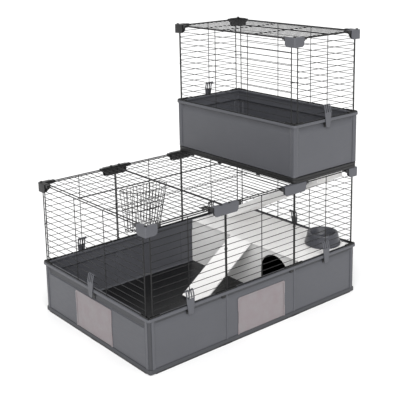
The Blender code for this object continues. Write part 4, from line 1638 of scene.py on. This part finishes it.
class Cage:
    """The whole cage, built sub-assembly by sub-assembly."""

    def __init__(self) -> None:
        """Reads the two storeys from the frame."""
        self.lower = Storey.around("wall_end_left", "wall_end_right", "roof_left")
        self.upper = Storey.around("upper_wall_left", "upper_wall_right", "roof_upper")
        self.shop = Workshop()
        half = self.lower.length(Face.FRONT) / 2
        marks = (half - MODULE / 2, half + MODULE / 2)
        self.lower_joints = {Face.FRONT: marks, Face.BACK: marks, Face.LEFT: (), Face.RIGHT: ()}
        self.upper_joints = {face: () for face in Face}

    def build_trays(self) -> None:
        """Makes both trays with their seats, floors, windows and base pieces."""
        Tray(self.lower, "", ("_left", "_middle", "_right")).build(self.shop)
        Tray(self.upper, "upper_", ("",)).build(self.shop)
        RimSeats(self.lower, "lower", self.lower_joints).build(self.shop)
        RimSeats(self.upper, "upper", self.upper_joints).build(self.shop)
        BaseStrip(self.lower).build(self.shop)
        BaseFrame(self.upper).build(self.shop)
        Window(self.lower, "window_front", Face.FRONT).build(self.shop)
        Window(self.lower, "window_end", Face.LEFT).build(self.shop)
        for node in ("floor_left", "floor_middle", "floor_right", "upper_floor"):
            self.shop.dress(node, Slot.BLACK)

    def build_grilles(self) -> None:
        """Makes every wire panel."""
        for place, stiffener in (("left", -MODULE), ("middle", 0.0), ("right", MODULE)):
            for face in ("front", "back"):
                Grille(f"grille_{face}_{place}", True, stiffener=stiffener).build(self.shop, BODY)
        for side in ("left", "right"):
            Grille(f"grille_end_{side}", True).build(self.shop, BODY)
        middle = (self.upper.left + self.upper.right) / 2
        for face in Face:
            stiffener = middle if face in LONG_FACES else None
            Grille(f"upper_grille_{face.value}", True, stiffener=stiffener).build(self.shop, BODY)
        for roof in ("roof_left", "roof_middle", "roof_upper"):
            Grille(roof, False).build(self.shop, roof)

    def build_joins(self) -> None:
        """Makes the connectors, edge clips and the roof catch."""
        for end in LONG_FACES:
            for side in SHORT_FACES:
                node, pegs = f"corner_{end.value}_{side.value}", side is Face.LEFT
                self.connector(self.lower, node, pegs).build_corner(self.shop, side, end)
                self.connector(self.upper, f"upper_{node}", True).build_corner(self.shop, side, end)
            for side in SHORT_FACES:
                node, pegs = f"tee_{end.value}_{side.value}", side is Face.LEFT
                self.connector(self.lower, node, pegs).build_tee(self.shop, end)
        EdgeClips(self.lower, "lower", self.lower_joints).build(self.shop)
        EdgeClips(self.upper, "upper", self.upper_joints).build(self.shop)
        catch = self.lower_joints[Face.FRONT][0] - 0.074
        RoofHook(self.lower, "roof_left", catch).build(self.shop)

    def connector(self, storey: Storey, node: str, pegs: bool) -> Connector:
        """Sizes a connector by the box of the node that it replaces."""
        low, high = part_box(node)
        return Connector(storey, node, high.z, high.z - low.z, pegs=pegs)

    def build_latches(self) -> None:
        """Makes the eight hook latches."""
        half = self.lower.length(Face.FRONT) / 2
        for face in LONG_FACES:
            for place, along in (("left", half - MODULE), ("right", half + MODULE)):
                Latch(self.lower, f"latch_{face.value}_{place}", face, along).build(self.shop)
            middle = self.upper.length(face) / 2
            Latch(self.upper, f"latch_upper_{face.value}", face, middle).build(self.shop)
        for face in SHORT_FACES:
            Latch(self.lower, f"latch_end_{face.value}", face, self.lower.length(face) / 2).build(self.shop)

    def build_inside(self) -> None:
        """Makes the den, ramps, hay rack and bowl."""
        Den().build(self.shop)
        HayRack().build(self.shop)
        Bowl().build(self.shop)


def main() -> None:
    """Builds the studio and the cage, piece by piece."""
    logging.basicConfig(level=logging.INFO, format="%(name)s %(message)s")
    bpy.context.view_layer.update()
    Studio().build()
    cage = Cage()
    cage.build_trays()
    cage.build_grilles()
    cage.build_joins()
    cage.build_latches()
    cage.build_inside()
    LOG.info("%d pieces made", cage.shop.pieces)


if __name__ == "__main__":
    main()
